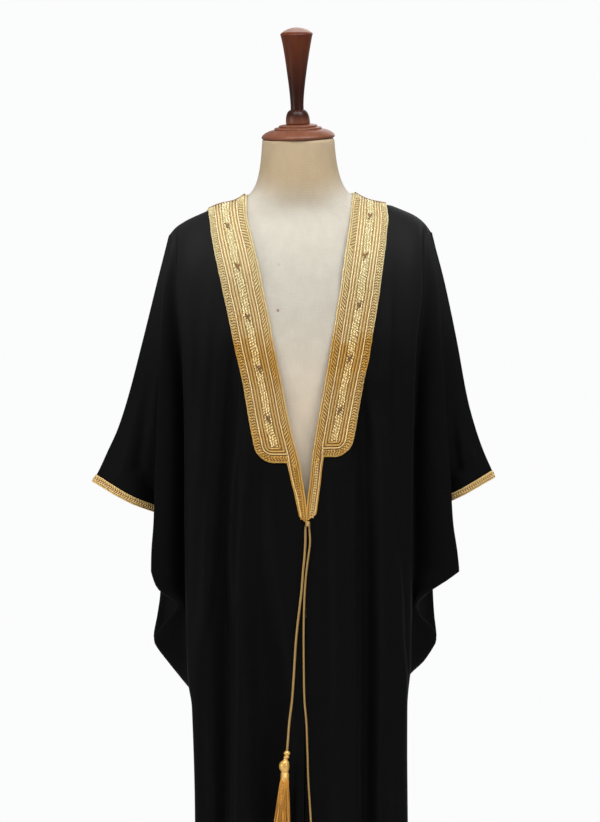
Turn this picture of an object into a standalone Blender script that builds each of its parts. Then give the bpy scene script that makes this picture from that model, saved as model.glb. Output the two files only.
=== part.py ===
"""A bisht, the black open cloak with gold zari bands and tasselled cords, worn by a dress form.

Metres, +Z up, the front faces -Y, and the origin is the middle of the stand's base on the floor.
Right and left are the wearer's, so the wearer's right is at -X.
"""

import math

import bmesh
import bpy
import numpy as np
from mathutils import Vector
from mathutils.bvhtree import BVHTree

# Driving dimensions.
HEM = 0.055
CLOTH = 0.002
NECK_HALF_WIDTH = 0.090
NECKLINE_BACK = 0.0645
NECKLINE_Z = 1.5005
CUFF_LEVEL = 0.962
CUFF_BAND = 0.011
BAND_FOOT = 1.062
BAND_SHARES = (0.27, 0.64, 1.0)
BAND_THICK = 0.0012
NECK_BAND_HEIGHTS = (0.0002, 0.0009, 0.0002)
NECK_TOP = 1.599
NECK_TILT_FORWARD = math.radians(5.0)
NECK_LEAN = math.radians(2.0)
CUFF_THICK = 0.0014
SEAM_HALF_GAP = 0.0002
LAY_GAP = 0.0006
SEAT_GAP = 0.0005
PIECE_GAP = 0.0003
LEAST_HALF_HOLLOW = 0.0027
CLOSE_TO_FORM = 0.006
CLEAR_PASSES = 30
CLEAR_SAMPLES = 6
CORD_DIAMETER = {"right": 0.0042, "left": 0.0036}
KNOT_TOP = 0.970
KNOT_HEIGHT = 0.014
KNOT_X = 0.0122
TASSEL_LOCKS = 12
FORM_SEGMENTS = 28
FORM_SQUARENESS = 2.3
POLE_RADIUS = 0.015
BASE_RADIUS = 0.155
BASE_THICK = 0.020
BASE_EDGE = 0.004

# The wearer's right is at -X, and the front at -Y.
SIGN = {"right": -1.0, "left": 1.0, "front": -1.0, "back": 1.0}


def table(columns, rows):
    """Named columns of numbers, from a header line and one row for each section or fold."""
    return {name: np.array([row[i] for row in rows], float) for i, name in enumerate(columns.split())}


# The dress form's level sections: half its width, and how far it reaches to the front and back.
FORM = table(
    "z half_width front back",
    [
        (0.800, 0.148, 0.096, 0.098),
        (0.814, 0.158, 0.104, 0.107),
        (0.860, 0.166, 0.110, 0.116),
        (0.930, 0.162, 0.108, 0.112),
        (1.010, 0.149, 0.103, 0.102),
        (1.090, 0.145, 0.103, 0.096),
        (1.180, 0.158, 0.115, 0.101),
        (1.260, 0.173, 0.123, 0.110),
        (1.320, 0.184, 0.120, 0.115),
        (1.370, 0.197, 0.110, 0.113),
        (1.405, 0.205, 0.098, 0.106),
        (1.425, 0.206, 0.088, 0.097),
        (1.442, 0.200, 0.079, 0.087),
        (1.457, 0.181, 0.070, 0.077),
        (1.472, 0.151, 0.063, 0.068),
        (1.484, 0.122, 0.060, 0.062),
        (1.494, 0.100, 0.060, 0.060),
        (1.506, 0.083, 0.061, 0.058),
        (1.524, 0.0715, 0.0615, 0.057),
        (1.556, 0.0640, 0.0605, 0.056),
        (NECK_TOP, 0.0605, 0.0590, 0.055),
    ],
)

# The two front edges and the outer edges of their bands: where each stands across the body.
OPENING = table(
    "level right_edge left_edge right_band left_band",
    [
        (1.360, -0.0672, 0.0689, -0.1344, 0.1360),
        (1.250, -0.0447, 0.0504, -0.1110, 0.1190),
        (1.120, -0.0185, 0.0269, -0.0857, 0.0941),
        (1.062, -0.0026, 0.0192, -0.0740, 0.0834),
        (1.020, 0.0042, 0.0136, -0.0680, 0.0800),
        (0.962, 0.0090, 0.0106, -0.0640, 0.0780),
        (0.655, 0.0080, 0.0096, -0.0640, 0.0770),
        (0.055, 0.0052, 0.0068, -0.0700, 0.0800),
    ],
)

# Lines down each side, by how far out they stand.
# ridge: the fold in front of the arm's place. tuck: the hollow beside it. lobe: the fold that
# falls from the shoulder's point. pocket: the hollow behind it. notch: the sleeve's underseam.
SIDE_LINES = {
    "right": table(
        "level ridge tuck lobe pocket notch",
        [
            (1.450, 0.196, 0.206, 0.2110, 0.2145, 0.2170),
            (1.360, 0.203, 0.208, 0.2280, 0.2190, 0.2290),
            (1.250, 0.192, 0.198, 0.2335, 0.2110, 0.2350),
            (1.120, 0.189, 0.193, 0.2385, 0.2030, 0.2450),
            (1.030, 0.188, 0.192, 0.2420, 0.2000, 0.2430),
            (0.962, 0.188, 0.192, 0.2440, 0.1980, 0.2120),
            (0.905, 0.187, 0.192, 0.2480, 0.1980, 0.2260),
            (0.875, 0.187, 0.192, 0.2485, 0.1980, 0.2310),
            (0.850, 0.187, 0.190, 0.2420, 0.1980, 0.2345),
            (0.832, 0.187, 0.188, 0.2180, 0.1980, 0.2355),
            (0.800, 0.186, 0.187, 0.2060, 0.1980, 0.2400),
            (0.760, 0.186, 0.186, 0.2000, 0.1980, 0.2465),
            (0.725, 0.185, 0.184, 0.1950, 0.1940, 0.2330),
            (0.690, 0.184, 0.180, 0.1880, 0.1860, 0.2030),
            (0.655, 0.182, 0.174, 0.1830, 0.1770, 0.1830),
            (0.450, 0.175, 0.166, 0.1760, 0.1680, 0.1760),
            (0.055, 0.192, 0.178, 0.1940, 0.1800, 0.1930),
        ],
    ),
    "left": table(
        "level ridge tuck lobe pocket notch",
        [
            (1.450, 0.198, 0.207, 0.2120, 0.2150, 0.2175),
            (1.360, 0.199, 0.207, 0.2300, 0.2200, 0.2300),
            (1.250, 0.189, 0.197, 0.2375, 0.2130, 0.2380),
            (1.120, 0.185, 0.191, 0.2450, 0.2030, 0.2430),
            (1.030, 0.183, 0.189, 0.2510, 0.2000, 0.2400),
            (0.962, 0.182, 0.189, 0.2550, 0.1980, 0.2120),
            (0.905, 0.182, 0.189, 0.2630, 0.1980, 0.2210),
            (0.875, 0.182, 0.189, 0.2655, 0.1980, 0.2240),
            (0.850, 0.182, 0.188, 0.2400, 0.1980, 0.2235),
            (0.832, 0.182, 0.187, 0.2160, 0.1980, 0.2240),
            (0.800, 0.182, 0.186, 0.2050, 0.1980, 0.2260),
            (0.760, 0.182, 0.184, 0.1980, 0.1970, 0.2300),
            (0.725, 0.182, 0.182, 0.1930, 0.1930, 0.2200),
            (0.690, 0.181, 0.180, 0.1860, 0.1860, 0.1930),
            (0.655, 0.179, 0.174, 0.1810, 0.1760, 0.1810),
            (0.450, 0.178, 0.169, 0.1790, 0.1710, 0.1790),
            (0.055, 0.194, 0.180, 0.1960, 0.1820, 0.1950),
        ],
    ),
}

# How far the same lines stand to the front and to the back. middle: halfway up the cuff's mouth.
DEPTH = {
    "front": table(
        "level edge band ridge tuck lobe pocket notch middle",
        [
            (1.360, 0.1150, 0.110, 0.084, 0.058, 0.056, 0.034, 0.020, 0.010),
            (1.250, 0.1275, 0.121, 0.097, 0.056, 0.066, 0.036, 0.026, 0.016),
            (1.120, 0.1300, 0.124, 0.103, 0.055, 0.074, 0.037, 0.030, 0.022),
            (1.030, 0.1315, 0.127, 0.106, 0.055, 0.078, 0.037, 0.022, 0.026),
            (0.962, 0.1320, 0.128, 0.107, 0.055, 0.079, 0.036, 0.000, 0.027),
            (0.875, 0.1315, 0.128, 0.108, 0.055, 0.077, 0.034, 0.000, 0.027),
            (0.850, 0.1310, 0.128, 0.108, 0.056, 0.070, 0.033, 0.000, 0.027),
            (0.832, 0.1310, 0.128, 0.108, 0.058, 0.058, 0.032, 0.000, 0.027),
            (0.760, 0.1300, 0.128, 0.109, 0.062, 0.050, 0.030, 0.000, 0.027),
            (0.655, 0.1300, 0.129, 0.110, 0.066, 0.043, 0.022, 0.000, 0.027),
            (0.450, 0.1305, 0.132, 0.114, 0.070, 0.045, 0.022, 0.000, 0.027),
            (0.055, 0.1390, 0.143, 0.124, 0.078, 0.050, 0.024, 0.000, 0.027),
        ],
    ),
    "back": table(
        "level edge band ridge tuck lobe pocket notch middle",
        [
            (1.360, 0.1190, 0.116, 0.094, 0.062, 0.060, 0.034, 0.020, 0.010),
            (1.250, 0.1230, 0.124, 0.103, 0.060, 0.070, 0.036, 0.026, 0.016),
            (1.120, 0.1240, 0.127, 0.108, 0.060, 0.078, 0.037, 0.030, 0.022),
            (1.030, 0.1250, 0.128, 0.110, 0.060, 0.080, 0.037, 0.022, 0.026),
            (0.962, 0.1260, 0.130, 0.111, 0.060, 0.082, 0.036, 0.000, 0.027),
            (0.875, 0.1280, 0.132, 0.112, 0.060, 0.078, 0.034, 0.000, 0.027),
            (0.832, 0.1290, 0.133, 0.112, 0.062, 0.062, 0.032, 0.000, 0.027),
            (0.760, 0.1300, 0.134, 0.113, 0.066, 0.052, 0.030, 0.000, 0.027),
            (0.655, 0.1310, 0.135, 0.114, 0.070, 0.046, 0.022, 0.000, 0.027),
            (0.450, 0.1340, 0.139, 0.118, 0.074, 0.048, 0.022, 0.000, 0.027),
            (0.055, 0.1460, 0.152, 0.130, 0.084, 0.054, 0.024, 0.000, 0.027),
        ],
    ),
}
# At the back the lobe stands further in, between these two levels.
BACK_LOBE_INSET = 0.008
LOBE_FOOT = 0.80
LOBE_TOP = 1.36
LOBE_FADE = 0.10
# The back's second line leaves the neck's edge and flares a little on its way down.
BACK_LINE_TOP = 1.36
BACK_LINE_FLARE = 0.012

# The shoulder seam, from the neck outwards, and the sleeve's upper fold, down to the cuff.
SHOULDER_LINE = table(
    "x z",
    [
        (0.060, 1.5120),
        (0.090, 1.5035),
        (0.120, 1.4905),
        (0.155, 1.4760),
        (0.185, 1.4610),
        (0.200, 1.4510),
        (0.211, 1.4400),
        (0.221, 1.4270),
    ],
)
SLEEVE_TOP = table(
    "z right left",
    [
        (1.427, 0.2215, 0.2220),
        (1.362, 0.2390, 0.2385),
        (1.261, 0.2640, 0.2600),
        (1.160, 0.2905, 0.2790),
        (1.110, 0.3070, 0.2930),
        (1.076, 0.3225, 0.3060),
        (1.033, 0.3490, 0.3260),
    ],
)
# The front band's outer edge, where it crosses the shoulder seam.
BAND_ON_SHOULDER = 0.1546
# The cloth rests on the dress form over the shoulder, this far down and this far out.
SETTLE_DEGREES = 100.0
SETTLE_WITHIN = 0.20
SETTLE_FADE = 0.05
# How far the sleeve's upper fold, and its underseam, lie above the level of the front's row.
SLEEVE_LIFT = table(
    "level tip notch_right notch_left",
    [
        (1.345, -0.004, 0.000, 0.000),
        (1.250, 0.018, 0.000, 0.002),
        (1.120, 0.042, 0.000, 0.006),
        (1.030, 0.059, -0.001, 0.010),
        (0.962, 0.071, -0.001, 0.013),
        (0.905, 0.071, 0.000, 0.000),
        (0.055, 0.071, 0.000, 0.000),
    ],
)

# Soft folds that hang in the body. at: the share of the way from the band, or from the middle of
# the back, to the ridge. depth is outwards, so a hollow is negative.
FOLDS = {
    "front_right": table(
        "at_top at_hem half_width depth from_level full_level",
        [
            (0.12, 0.14, 0.22, 0.005, 1.36, 0.80),
            (0.46, 0.43, 0.34, -0.015, 1.38, 0.85),
            (0.80, 0.74, 0.22, 0.006, 1.30, 0.95),
        ],
    ),
    "front_left": table(
        "at_top at_hem half_width depth from_level full_level",
        [
            (0.20, 0.24, 0.26, -0.015, 1.30, 0.85),
            (0.52, 0.56, 0.26, 0.007, 1.36, 0.90),
            (0.82, 0.80, 0.22, -0.009, 1.34, 0.85),
        ],
    ),
    "back_right": table(
        "at_top at_hem half_width depth from_level full_level",
        [
            (0.00, 0.00, 0.13, 0.006, 1.38, 1.00),
            (0.22, 0.20, 0.16, -0.014, 1.36, 0.95),
            (0.44, 0.41, 0.15, 0.009, 1.34, 1.00),
            (0.68, 0.65, 0.17, -0.015, 1.34, 0.96),
            (0.88, 0.86, 0.12, 0.006, 1.30, 1.00),
        ],
    ),
    "back_left": table(
        "at_top at_hem half_width depth from_level full_level",
        [
            (0.00, 0.00, 0.13, 0.006, 1.38, 1.00),
            (0.27, 0.25, 0.17, -0.012, 1.37, 1.00),
            (0.50, 0.47, 0.15, 0.011, 1.33, 0.98),
            (0.72, 0.70, 0.16, -0.013, 1.32, 0.94),
            (0.90, 0.88, 0.11, 0.006, 1.28, 0.98),
        ],
    ),
}

FOLDS_TOP = 1.40
# A fold stands square to the cloth, which turns from facing forward to facing sideways.
FOLD_TURNS_FROM = 0.75
FOLD_TURNS_OVER = 0.50
FOLD_TURN = 0.8

# Steps across, from each line to the next, starting at the band's outer edge or the back's middle.
LINES = ("edge", "band", "ridge", "tuck", "lobe", "pocket", "notch", "middle")
FRONT_STEPS = (7, 2, 3, 3, 2, 1, 2)
BACK_STEPS = (4, 6, 2, 3, 3, 2, 1, 2)
MOUTH_COLUMNS = 3
ROLL_ANGLES = (0, 14, 28, 44, 61, 77)
LEVELS = (
    1.345, 1.285, 1.220, 1.155, 1.097, 1.075, BAND_FOOT, 1.015,
    CUFF_LEVEL + CUFF_BAND, CUFF_LEVEL, 0.920, 0.886, 0.866, 0.849, 0.832, 0.800, 0.765,
    0.728, 0.690, 0.655, 0.540, 0.400, 0.230, HEM,
)
CUFF_ROW = len(ROLL_ANGLES) + LEVELS.index(CUFF_LEVEL)
FOOT_ROW = len(ROLL_ANGLES) + LEVELS.index(BAND_FOOT)

# The front band, across: its raised borders and cords, by share of the band and height.
BAND_PROFILE = table(
    "share height",
    [
        (0.00, 0.0002),
        (0.07, 0.0010),
        (0.19, 0.0010),
        (0.27, 0.0001),
        (0.37, 0.0009),
        (0.50, 0.0004),
        (0.64, 0.0004),
        (0.74, 0.0009),
        (0.82, 0.0001),
        (0.92, 0.0010),
        (1.00, 0.0002),
    ],
)
NARROW_COLUMNS = 3
EDGING_POINT = 0.6
# The band's rounded foot: how far its outer columns reach on the last rows, as shares.
FOOT_REACH = {FOOT_ROW - 1: 0.955, FOOT_ROW: 0.80}

# Where the two cords hang, from the knot down.
CORDS = {
    "right": table(
        "x z",
        [
            (0.0094, 0.9555),
            (0.0088, 0.9310),
            (0.0074, 0.9070),
            (0.0050, 0.8820),
            (0.0025, 0.8500),
            (-0.0034, 0.7990),
            (-0.0067, 0.7660),
            (-0.0109, 0.6995),
            (-0.0134, 0.6660),
            (-0.0176, 0.6330),
            (-0.0202, 0.6000),
            (-0.0214, 0.5860),
        ],
    ),
    "left": table(
        "x z",
        [
            (0.0150, 0.9555),
            (0.0166, 0.9310),
            (0.0138, 0.9070),
            (0.0106, 0.8820),
            (0.0079, 0.8500),
            (0.0062, 0.7990),
            (0.0062, 0.7320),
            (0.0076, 0.6650),
            (0.0104, 0.6330),
            (0.0122, 0.5830),
            (0.0138, 0.5330),
            (0.0160, 0.4990),
            (0.0180, 0.4660),
            (0.0184, 0.4350),
            (0.0182, 0.4050),
        ],
    ),
}

# A tassel's head, turned: radius, and the drop below the cord's end.
TASSEL_HEAD = table(
    "radius drop",
    [
        (0.0030, 0.0000),
        (0.0053, 0.0010),
        (0.0053, 0.0062),
        (0.0058, 0.0070),
        (0.0058, 0.0112),
        (0.0034, 0.0128),
        (0.0034, 0.0160),
        (0.0070, 0.0190),
        (0.0084, 0.0255),
        (0.0070, 0.0325),
        (0.0088, 0.0340),
        (0.0088, 0.0475),
        (0.0072, 0.0500),
    ],
)
TASSEL_SKIRT = 0.082
TASSEL_SPREAD = 1.75
TASSEL_REACH = 0.0140
TASSEL_CORE = 0.55
LOCK_GAP = 0.00028
LOCK_FLARE = 0.7
LOCK_STEPS = ((0.35, 1.15), (1.0, 0.8))
CORE_TAPER = 0.8
CORE_LENGTH = 0.92
CORD_LEAVES_CLOTH = 0.110
CORD_LIFT = 0.0007
CORD_BESIDE = (-0.003, 0.0, 0.003)
CORD_ALONG = (-0.010, 0.0, 0.010)
KNOT_RADII = (0.0030, 0.0054, 0.0062, 0.0054, 0.0062, 0.0054, 0.0030)

# The turned wood on the neck.
CAP_PROFILE = table(
    "radius z",
    [
        (0.0590, 1.5993),
        (0.0615, 1.6010),
        (0.0625, 1.6060),
        (0.0612, 1.6110),
        (0.0560, 1.6145),
        (0.0385, 1.6160),
        (0.0385, 1.6190),
        (0.0305, 1.6200),
        (0.0305, 1.6235),
    ],
)
FINIAL_PROFILE = table(
    "radius z",
    [
        (0.0100, 1.6238),
        (0.0165, 1.6262),
        (0.0200, 1.6350),
        (0.0175, 1.6440),
        (0.0110, 1.6490),
        (0.0112, 1.6560),
        (0.0150, 1.6900),
        (0.0205, 1.7350),
        (0.0262, 1.7690),
        (0.0272, 1.7750),
        (0.0258, 1.7795),
        (0.0190, 1.7832),
        (0.0090, 1.7848),
    ],
)


def read_column(levels, values, at):
    """A table's column at any level, on a smooth curve that never overshoots the table's rows."""
    order = np.argsort(levels)
    x, y = levels[order], values[order]
    step = np.diff(x)
    rise = np.diff(y) / step
    turns = rise[:-1] * rise[1:] <= 0
    slope = np.empty_like(y)
    slope[0], slope[-1] = rise[0], rise[-1]
    both = np.where(turns, 1.0, rise[:-1] + rise[1:])
    slope[1:-1] = np.where(turns, 0.0, 2.0 * rise[:-1] * rise[1:] / both)
    at = np.clip(at, x[0], x[-1])
    i = np.clip(np.searchsorted(x, at, side="right") - 1, 0, len(x) - 2)
    t = (at - x[i]) / step[i]
    start = (1 + 2 * t) * y[i] + t * step[i] * slope[i]
    end = (3 - 2 * t) * y[i + 1] - (1 - t) * step[i] * slope[i + 1]
    return (1 - t) ** 2 * start + t**2 * end


def smooth_step(value):
    value = np.clip(value, 0.0, 1.0)
    return value * value * (3.0 - 2.0 * value)


def through(points, spans):
    """A smooth curve through points. spans holds, for each stretch, the shares where it is read."""
    points = np.array(points, float)
    length = np.sqrt(np.maximum(np.linalg.norm(np.diff(points, axis=0), axis=1), 1e-6))
    rise = np.diff(points, axis=0) / length[:, None]
    tangent = np.empty_like(points)
    tangent[0], tangent[-1] = rise[0], rise[-1]
    before, after = length[:-1, None], length[1:, None]
    tangent[1:-1] = (rise[:-1] * after + rise[1:] * before) / (before + after)
    found = [points[:1]]
    for i, shares in enumerate(spans):
        t = np.array(shares)[:, None]
        start = (1 + 2 * t) * points[i] + t * length[i] * tangent[i]
        end = (3 - 2 * t) * points[i + 1] - (1 - t) * length[i] * tangent[i + 1]
        found.append((1 - t) ** 2 * start + t**2 * end)
    return np.concatenate(found)


def even(steps):
    return np.arange(1, steps + 1) / steps


def rings_mesh(rings):
    """Vertices and triangles of a solid lofted through rings, closed at both ends."""
    count, segments = len(rings), len(rings[0])
    vertices = np.concatenate(list(rings) + [rings[0].mean(axis=0)[None], rings[-1].mean(axis=0)[None]])
    first_hub, last_hub = count * segments, count * segments + 1
    triangles = []
    for j in range(segments):
        k = (j + 1) % segments
        for i in range(count - 1):
            a, b = i * segments + j, i * segments + k
            c, d = a + segments, b + segments
            triangles += [(a, b, d), (a, d, c)]
        triangles.append((first_hub, k, j))
        last = (count - 1) * segments
        triangles.append((last_hub, last + j, last + k))
    return vertices, triangles


def on_neck(points):
    """Points leaned as the top of the neck leans: forward, and towards the wearer's right."""
    x, y, z = points[:, 0], points[:, 1], points[:, 2] - NECK_TOP
    forward_y = y * math.cos(NECK_TILT_FORWARD) - z * math.sin(NECK_TILT_FORWARD)
    z = y * math.sin(NECK_TILT_FORWARD) + z * math.cos(NECK_TILT_FORWARD)
    across_x = x * math.cos(NECK_LEAN) - z * math.sin(NECK_LEAN)
    z = x * math.sin(NECK_LEAN) + z * math.cos(NECK_LEAN)
    return np.stack([across_x, forward_y, z + NECK_TOP], axis=1)


def form_rings():
    angles = np.arange(FORM_SEGMENTS) * 2 * math.pi / FORM_SEGMENTS
    across, along = np.cos(angles), np.sin(angles)
    power = 2.0 / FORM_SQUARENESS
    rings = []
    for i, z in enumerate(FORM["z"]):
        depth = np.where(along < 0, FORM["front"][i], FORM["back"][i])
        x = FORM["half_width"][i] * np.sign(across) * np.abs(across) ** power
        y = depth * np.sign(along) * np.abs(along) ** power
        rings.append(np.stack([x, y, np.full_like(x, z)], axis=1))
    rings[-1] = on_neck(rings[-1])
    return rings


def turned_rings(profile, x=0.0, y=0.0, segments=16):
    angles = np.arange(segments) * 2 * math.pi / segments
    return [
        np.stack([x + r * np.cos(angles), y + r * np.sin(angles), np.full(segments, z)], axis=1)
        for r, z in zip(profile["radius"], profile["z"])
    ]


FORM_VERTICES, FORM_TRIANGLES = rings_mesh(form_rings())
FORM_TREE = BVHTree.FromPolygons([Vector(v) for v in FORM_VERTICES], FORM_TRIANGLES)


def off_form(point):
    """The nearest point of the dress form, the way out there, and how far outside the point is."""
    near, normal, _, distance = FORM_TREE.find_nearest(Vector(point))
    outside = (Vector(point) - near).dot(normal) >= 0
    return np.array(near), np.array(normal), distance if outside else -distance


def shoulder_height(x):
    return read_column(SHOULDER_LINE["x"], SHOULDER_LINE["z"], np.abs(x))


def sleeve_top(side, z):
    return read_column(SLEEVE_TOP["z"], SLEEVE_TOP[side], z)


def line_x(side, face, line, level):
    """How far out a line stands, to its own side."""
    if line in ("edge", "band"):
        if face == "back":
            return 0.0 if line == "edge" else NECK_HALF_WIDTH + BACK_LINE_FLARE * (BACK_LINE_TOP - level)
        return SIGN[side] * read_column(OPENING["level"], OPENING[side + "_" + line], level)
    out = read_column(SIDE_LINES[side]["level"], SIDE_LINES[side][line], level)
    if face == "back" and line == "lobe":
        within = smooth_step((level - LOBE_FOOT) / LOBE_FADE) * smooth_step((LOBE_TOP - level) / LOBE_FADE)
        out -= BACK_LOBE_INSET * within
    return out


def fold_depth(side, face, share, level):
    folds = FOLDS[face + "_" + side]
    fall = (FOLDS_TOP - level) / (FOLDS_TOP - HEM)
    depth = np.zeros_like(share)
    for i in range(len(folds["depth"])):
        at = folds["at_top"][i] + (folds["at_hem"][i] - folds["at_top"][i]) * fall
        near = np.clip(1.0 - np.abs(share - at) / folds["half_width"][i], 0.0, 1.0)
        grown = (folds["from_level"][i] - level) / (folds["from_level"][i] - folds["full_level"][i])
        depth += folds["depth"][i] * smooth_step(near) * smooth_step(grown)
    return depth


def spans(face):
    if face == "front":
        return [BAND_SHARES] + [even(n) for n in FRONT_STEPS]
    return [even(n) for n in BACK_STEPS]


def folded_columns(face):
    """The columns from the band (or the back's middle) to the ridge, where soft folds hang."""
    first = len(BAND_SHARES) if face == "front" else 0
    last = first + FRONT_STEPS[0] if face == "front" else sum(BACK_STEPS[:2])
    return first, last


def level_row(side, face, level):
    """A row of the cloth at a level, outwards from the front edge or from the middle of the back."""
    depth = DEPTH[face]
    points = []
    notch_lift = read_column(SLEEVE_LIFT["level"], SLEEVE_LIFT["notch_" + side], level)
    tip_lift = read_column(SLEEVE_LIFT["level"], SLEEVE_LIFT["tip"], level)
    for line in LINES[:-1]:
        y = read_column(depth["level"], depth[line], level)
        lift = notch_lift if line == "notch" else 0.0
        points.append((line_x(side, face, line, level), y, level + lift))
    tip_z = level + tip_lift
    tip = (sleeve_top(side, tip_z), 0.0, tip_z)
    notch = points[-1]
    middle_y = read_column(depth["level"], depth["middle"], level)
    points.append(((notch[0] + tip[0]) / 2, middle_y, (notch[2] + tip_z) / 2))
    points.append(tip)
    row = through(points, spans(face))
    first, last = folded_columns(face)
    share = np.linspace(0.0, 1.0, last - first + 1)
    moved = fold_depth(side, face, share, level)
    turn = smooth_step((share - FOLD_TURNS_FROM) / FOLD_TURNS_OVER) * FOLD_TURN
    row[first : last + 1, 0] += moved * np.sin(turn)
    row[first : last + 1, 1] += moved * np.cos(turn)
    return row


def shoulder_row(side, face):
    """The top row, along the shoulder seam, and at the back round the neckline before it."""
    lines = SIDE_LINES[side]
    outward = [lines[name][0] for name in ("ridge", "tuck", "lobe", "pocket", "notch")]
    tip_x = sleeve_top(side, SLEEVE_TOP["z"][0])
    stations = [NECK_HALF_WIDTH] + ([BAND_ON_SHOULDER] if face == "front" else [])
    stations += outward + [(outward[-1] + tip_x) / 2, tip_x]
    steps = spans(face) if face == "front" else spans(face)[1:]
    x = through([(s, 0.0, 0.0) for s in stations], steps)[:, 0]
    row = np.stack([x, np.zeros_like(x), shoulder_height(x)], axis=1)
    if face == "back":
        turn = np.arange(BACK_STEPS[0]) / BACK_STEPS[0] * math.pi / 2
        rise = shoulder_height(NECK_HALF_WIDTH) - NECKLINE_Z
        x, y = NECK_HALF_WIDTH * np.sin(turn), NECKLINE_BACK * np.cos(turn)
        neckline = np.stack([x, y, NECKLINE_Z + rise * np.sin(turn) ** 2], axis=1)
        row = np.concatenate([neckline, row])
    return row


def side_surface(side, face):
    """One side's outer points: rows down from the shoulder, over it and then level by level."""
    top, first = shoulder_row(side, face), level_row(side, face, LEVELS[0])
    rows = []
    for angle in np.radians(ROLL_ANGLES):
        fall, reach = 1 - math.cos(angle), math.sin(angle)
        row = top + (first - top) * np.array([fall, reach, fall])
        row[-1, 0] = sleeve_top(side, row[-1, 2])
        settle = smooth_step((SETTLE_WITHIN - row[:, 0]) / SETTLE_FADE)
        settle *= 1 - smooth_step(math.degrees(angle) / SETTLE_DEGREES)
        for j in np.nonzero(settle > 0)[0]:
            near, normal, _ = off_form(row[j] * (SIGN[side], SIGN[face], 1))
            seated = (near + normal * (CLOTH + SEAT_GAP)) * (SIGN[side], SIGN[face], 1)
            if angle == 0 and row[j, 1] == 0:
                seated[1] = 0.0
            row[j] += (seated - row[j]) * settle[j]
        rows.append(row)
    rows += [level_row(side, face, level) for level in LEVELS]
    surface = np.array(rows)
    on_seam = seam_points(surface)
    surface[..., 1] = np.where(on_seam, SEAM_HALF_GAP, np.maximum(surface[..., 1], LEAST_HALF_HOLLOW))
    return surface * (SIGN[side], SIGN[face], 1)


def seam_points(surface):
    """Which points lie on the shoulder seam, the sleeve's upper fold or its underseam."""
    rows, columns = surface.shape[:2]
    on_seam = np.zeros((rows, columns), bool)
    on_seam[0] = np.abs(surface[0, :, 1]) < 0.001
    on_seam[: CUFF_ROW + 1, -1] = True
    on_seam[CUFF_ROW:, columns - 1 - MOUTH_COLUMNS] = True
    return on_seam


def grid_normals(surface, outward):
    """Unit normals of a grid of points, turned to the way the cloth faces."""
    down = np.gradient(surface, axis=0)
    across = np.gradient(surface, axis=1)
    normal = np.cross(down, across) * outward
    return normal / np.maximum(np.linalg.norm(normal, axis=2, keepdims=True), 1e-12)


def present_cells(rows, columns):
    """Every cell of a side but those below the cuff and past the underseam."""
    present = np.ones((rows - 1, columns - 1), bool)
    present[CUFF_ROW:, columns - 1 - MOUTH_COLUMNS :] = False
    return present


def side_normals(surface, outward):
    normals = grid_normals(surface, outward)
    # Past the underseam the rows below the cuff don't exist, so those normals are read one-sided.
    mouth = surface[:, -1 - MOUTH_COLUMNS :]
    normals[CUFF_ROW, -MOUTH_COLUMNS:] = grid_normals(mouth[: CUFF_ROW + 1], outward)[CUFF_ROW, 1:]
    body = surface[:, : surface.shape[1] - MOUTH_COLUMNS]
    normals[CUFF_ROW:, -1 - MOUTH_COLUMNS] = grid_normals(body, outward)[CUFF_ROW:, -1]
    # The seam turns down the sleeve at the top corner, where the grid has no width of its own.
    normals[0, -1] = normals[0, -2] + normals[1, -1]
    flat = seam_points(surface)
    normals[..., 1] = np.where(flat, 0.0, normals[..., 1])
    return normals / np.linalg.norm(normals, axis=2, keepdims=True)


def clear_form(outside, inside, present, on_seam, turn_at):
    """Both faces of the wall moved out until the inner one lies just clear of the dress form."""
    fine = CLEAR_SAMPLES
    shares = [(i / fine, j / fine) for i in range(fine + 1) for j in range(fine + 1 - i)]
    triangles = []
    for r, c in zip(*np.nonzero(present)):
        a, d, b, e = (r, c), (r + 1, c), (r, c + 1), (r + 1, c + 1)
        triangles += [(a, d, e), (a, e, b)] if c < turn_at else [(a, d, b), (d, e, b)]
    for _ in range(CLEAR_PASSES):
        push = np.zeros_like(inside)
        close = []
        for triangle in triangles:
            first, second, third = (inside[corner] for corner in triangle)
            least = 1.0
            for i, j in shares:
                near, normal, gap = off_form(first + (second - first) * i + (third - first) * j)
                least = min(least, gap)
                short = SEAT_GAP - gap
                if short <= 1e-6:
                    continue
                for corner, weight in zip(triangle, (1 - i - j, i, j)):
                    if weight > 0 and np.linalg.norm(push[corner]) < short:
                        push[corner] = normal * short
            if least < CLOSE_TO_FORM:
                close.append(triangle)
        if not push.any():
            break
        triangles = close
        push[..., 1] = np.where(on_seam, 0.0, push[..., 1])
        inside += push
        outside += push
    return outside, inside


def wall_mesh(outside, inside, present, turn_at=None):
    """Vertices and triangles of a wall between two grids, over the cells that are present.

    From the column turn_at on, a cell is split along its other diagonal, as a mirror image is.
    """
    turn_at = present.shape[1] if turn_at is None else turn_at
    used = np.zeros(outside.shape[:2], bool)
    for dr in (0, 1):
        for dc in (0, 1):
            used[dr : dr + present.shape[0], dc : dc + present.shape[1]] |= present
    number = np.full(used.shape, -1)
    number[used] = np.arange(used.sum())
    vertices = np.concatenate([outside[used], inside[used]])
    shift = int(used.sum())
    triangles = []
    edges = {}
    for r, c in zip(*np.nonzero(present)):
        a, b = int(number[r, c]), int(number[r, c + 1])
        d, e = int(number[r + 1, c]), int(number[r + 1, c + 1])
        for triangle in ((a, d, e), (a, e, b)) if c < turn_at else ((a, d, b), (d, e, b)):
            triangles.append(triangle)
            triangles.append(tuple(v + shift for v in reversed(triangle)))
        for edge in ((a, d), (d, e), (e, b), (b, a)):
            edges[edge] = True
    for a, b in edges:
        if (b, a) not in edges:
            triangles += [(b, a, a + shift), (b, a + shift, b + shift)]
    return vertices, triangles


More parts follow.
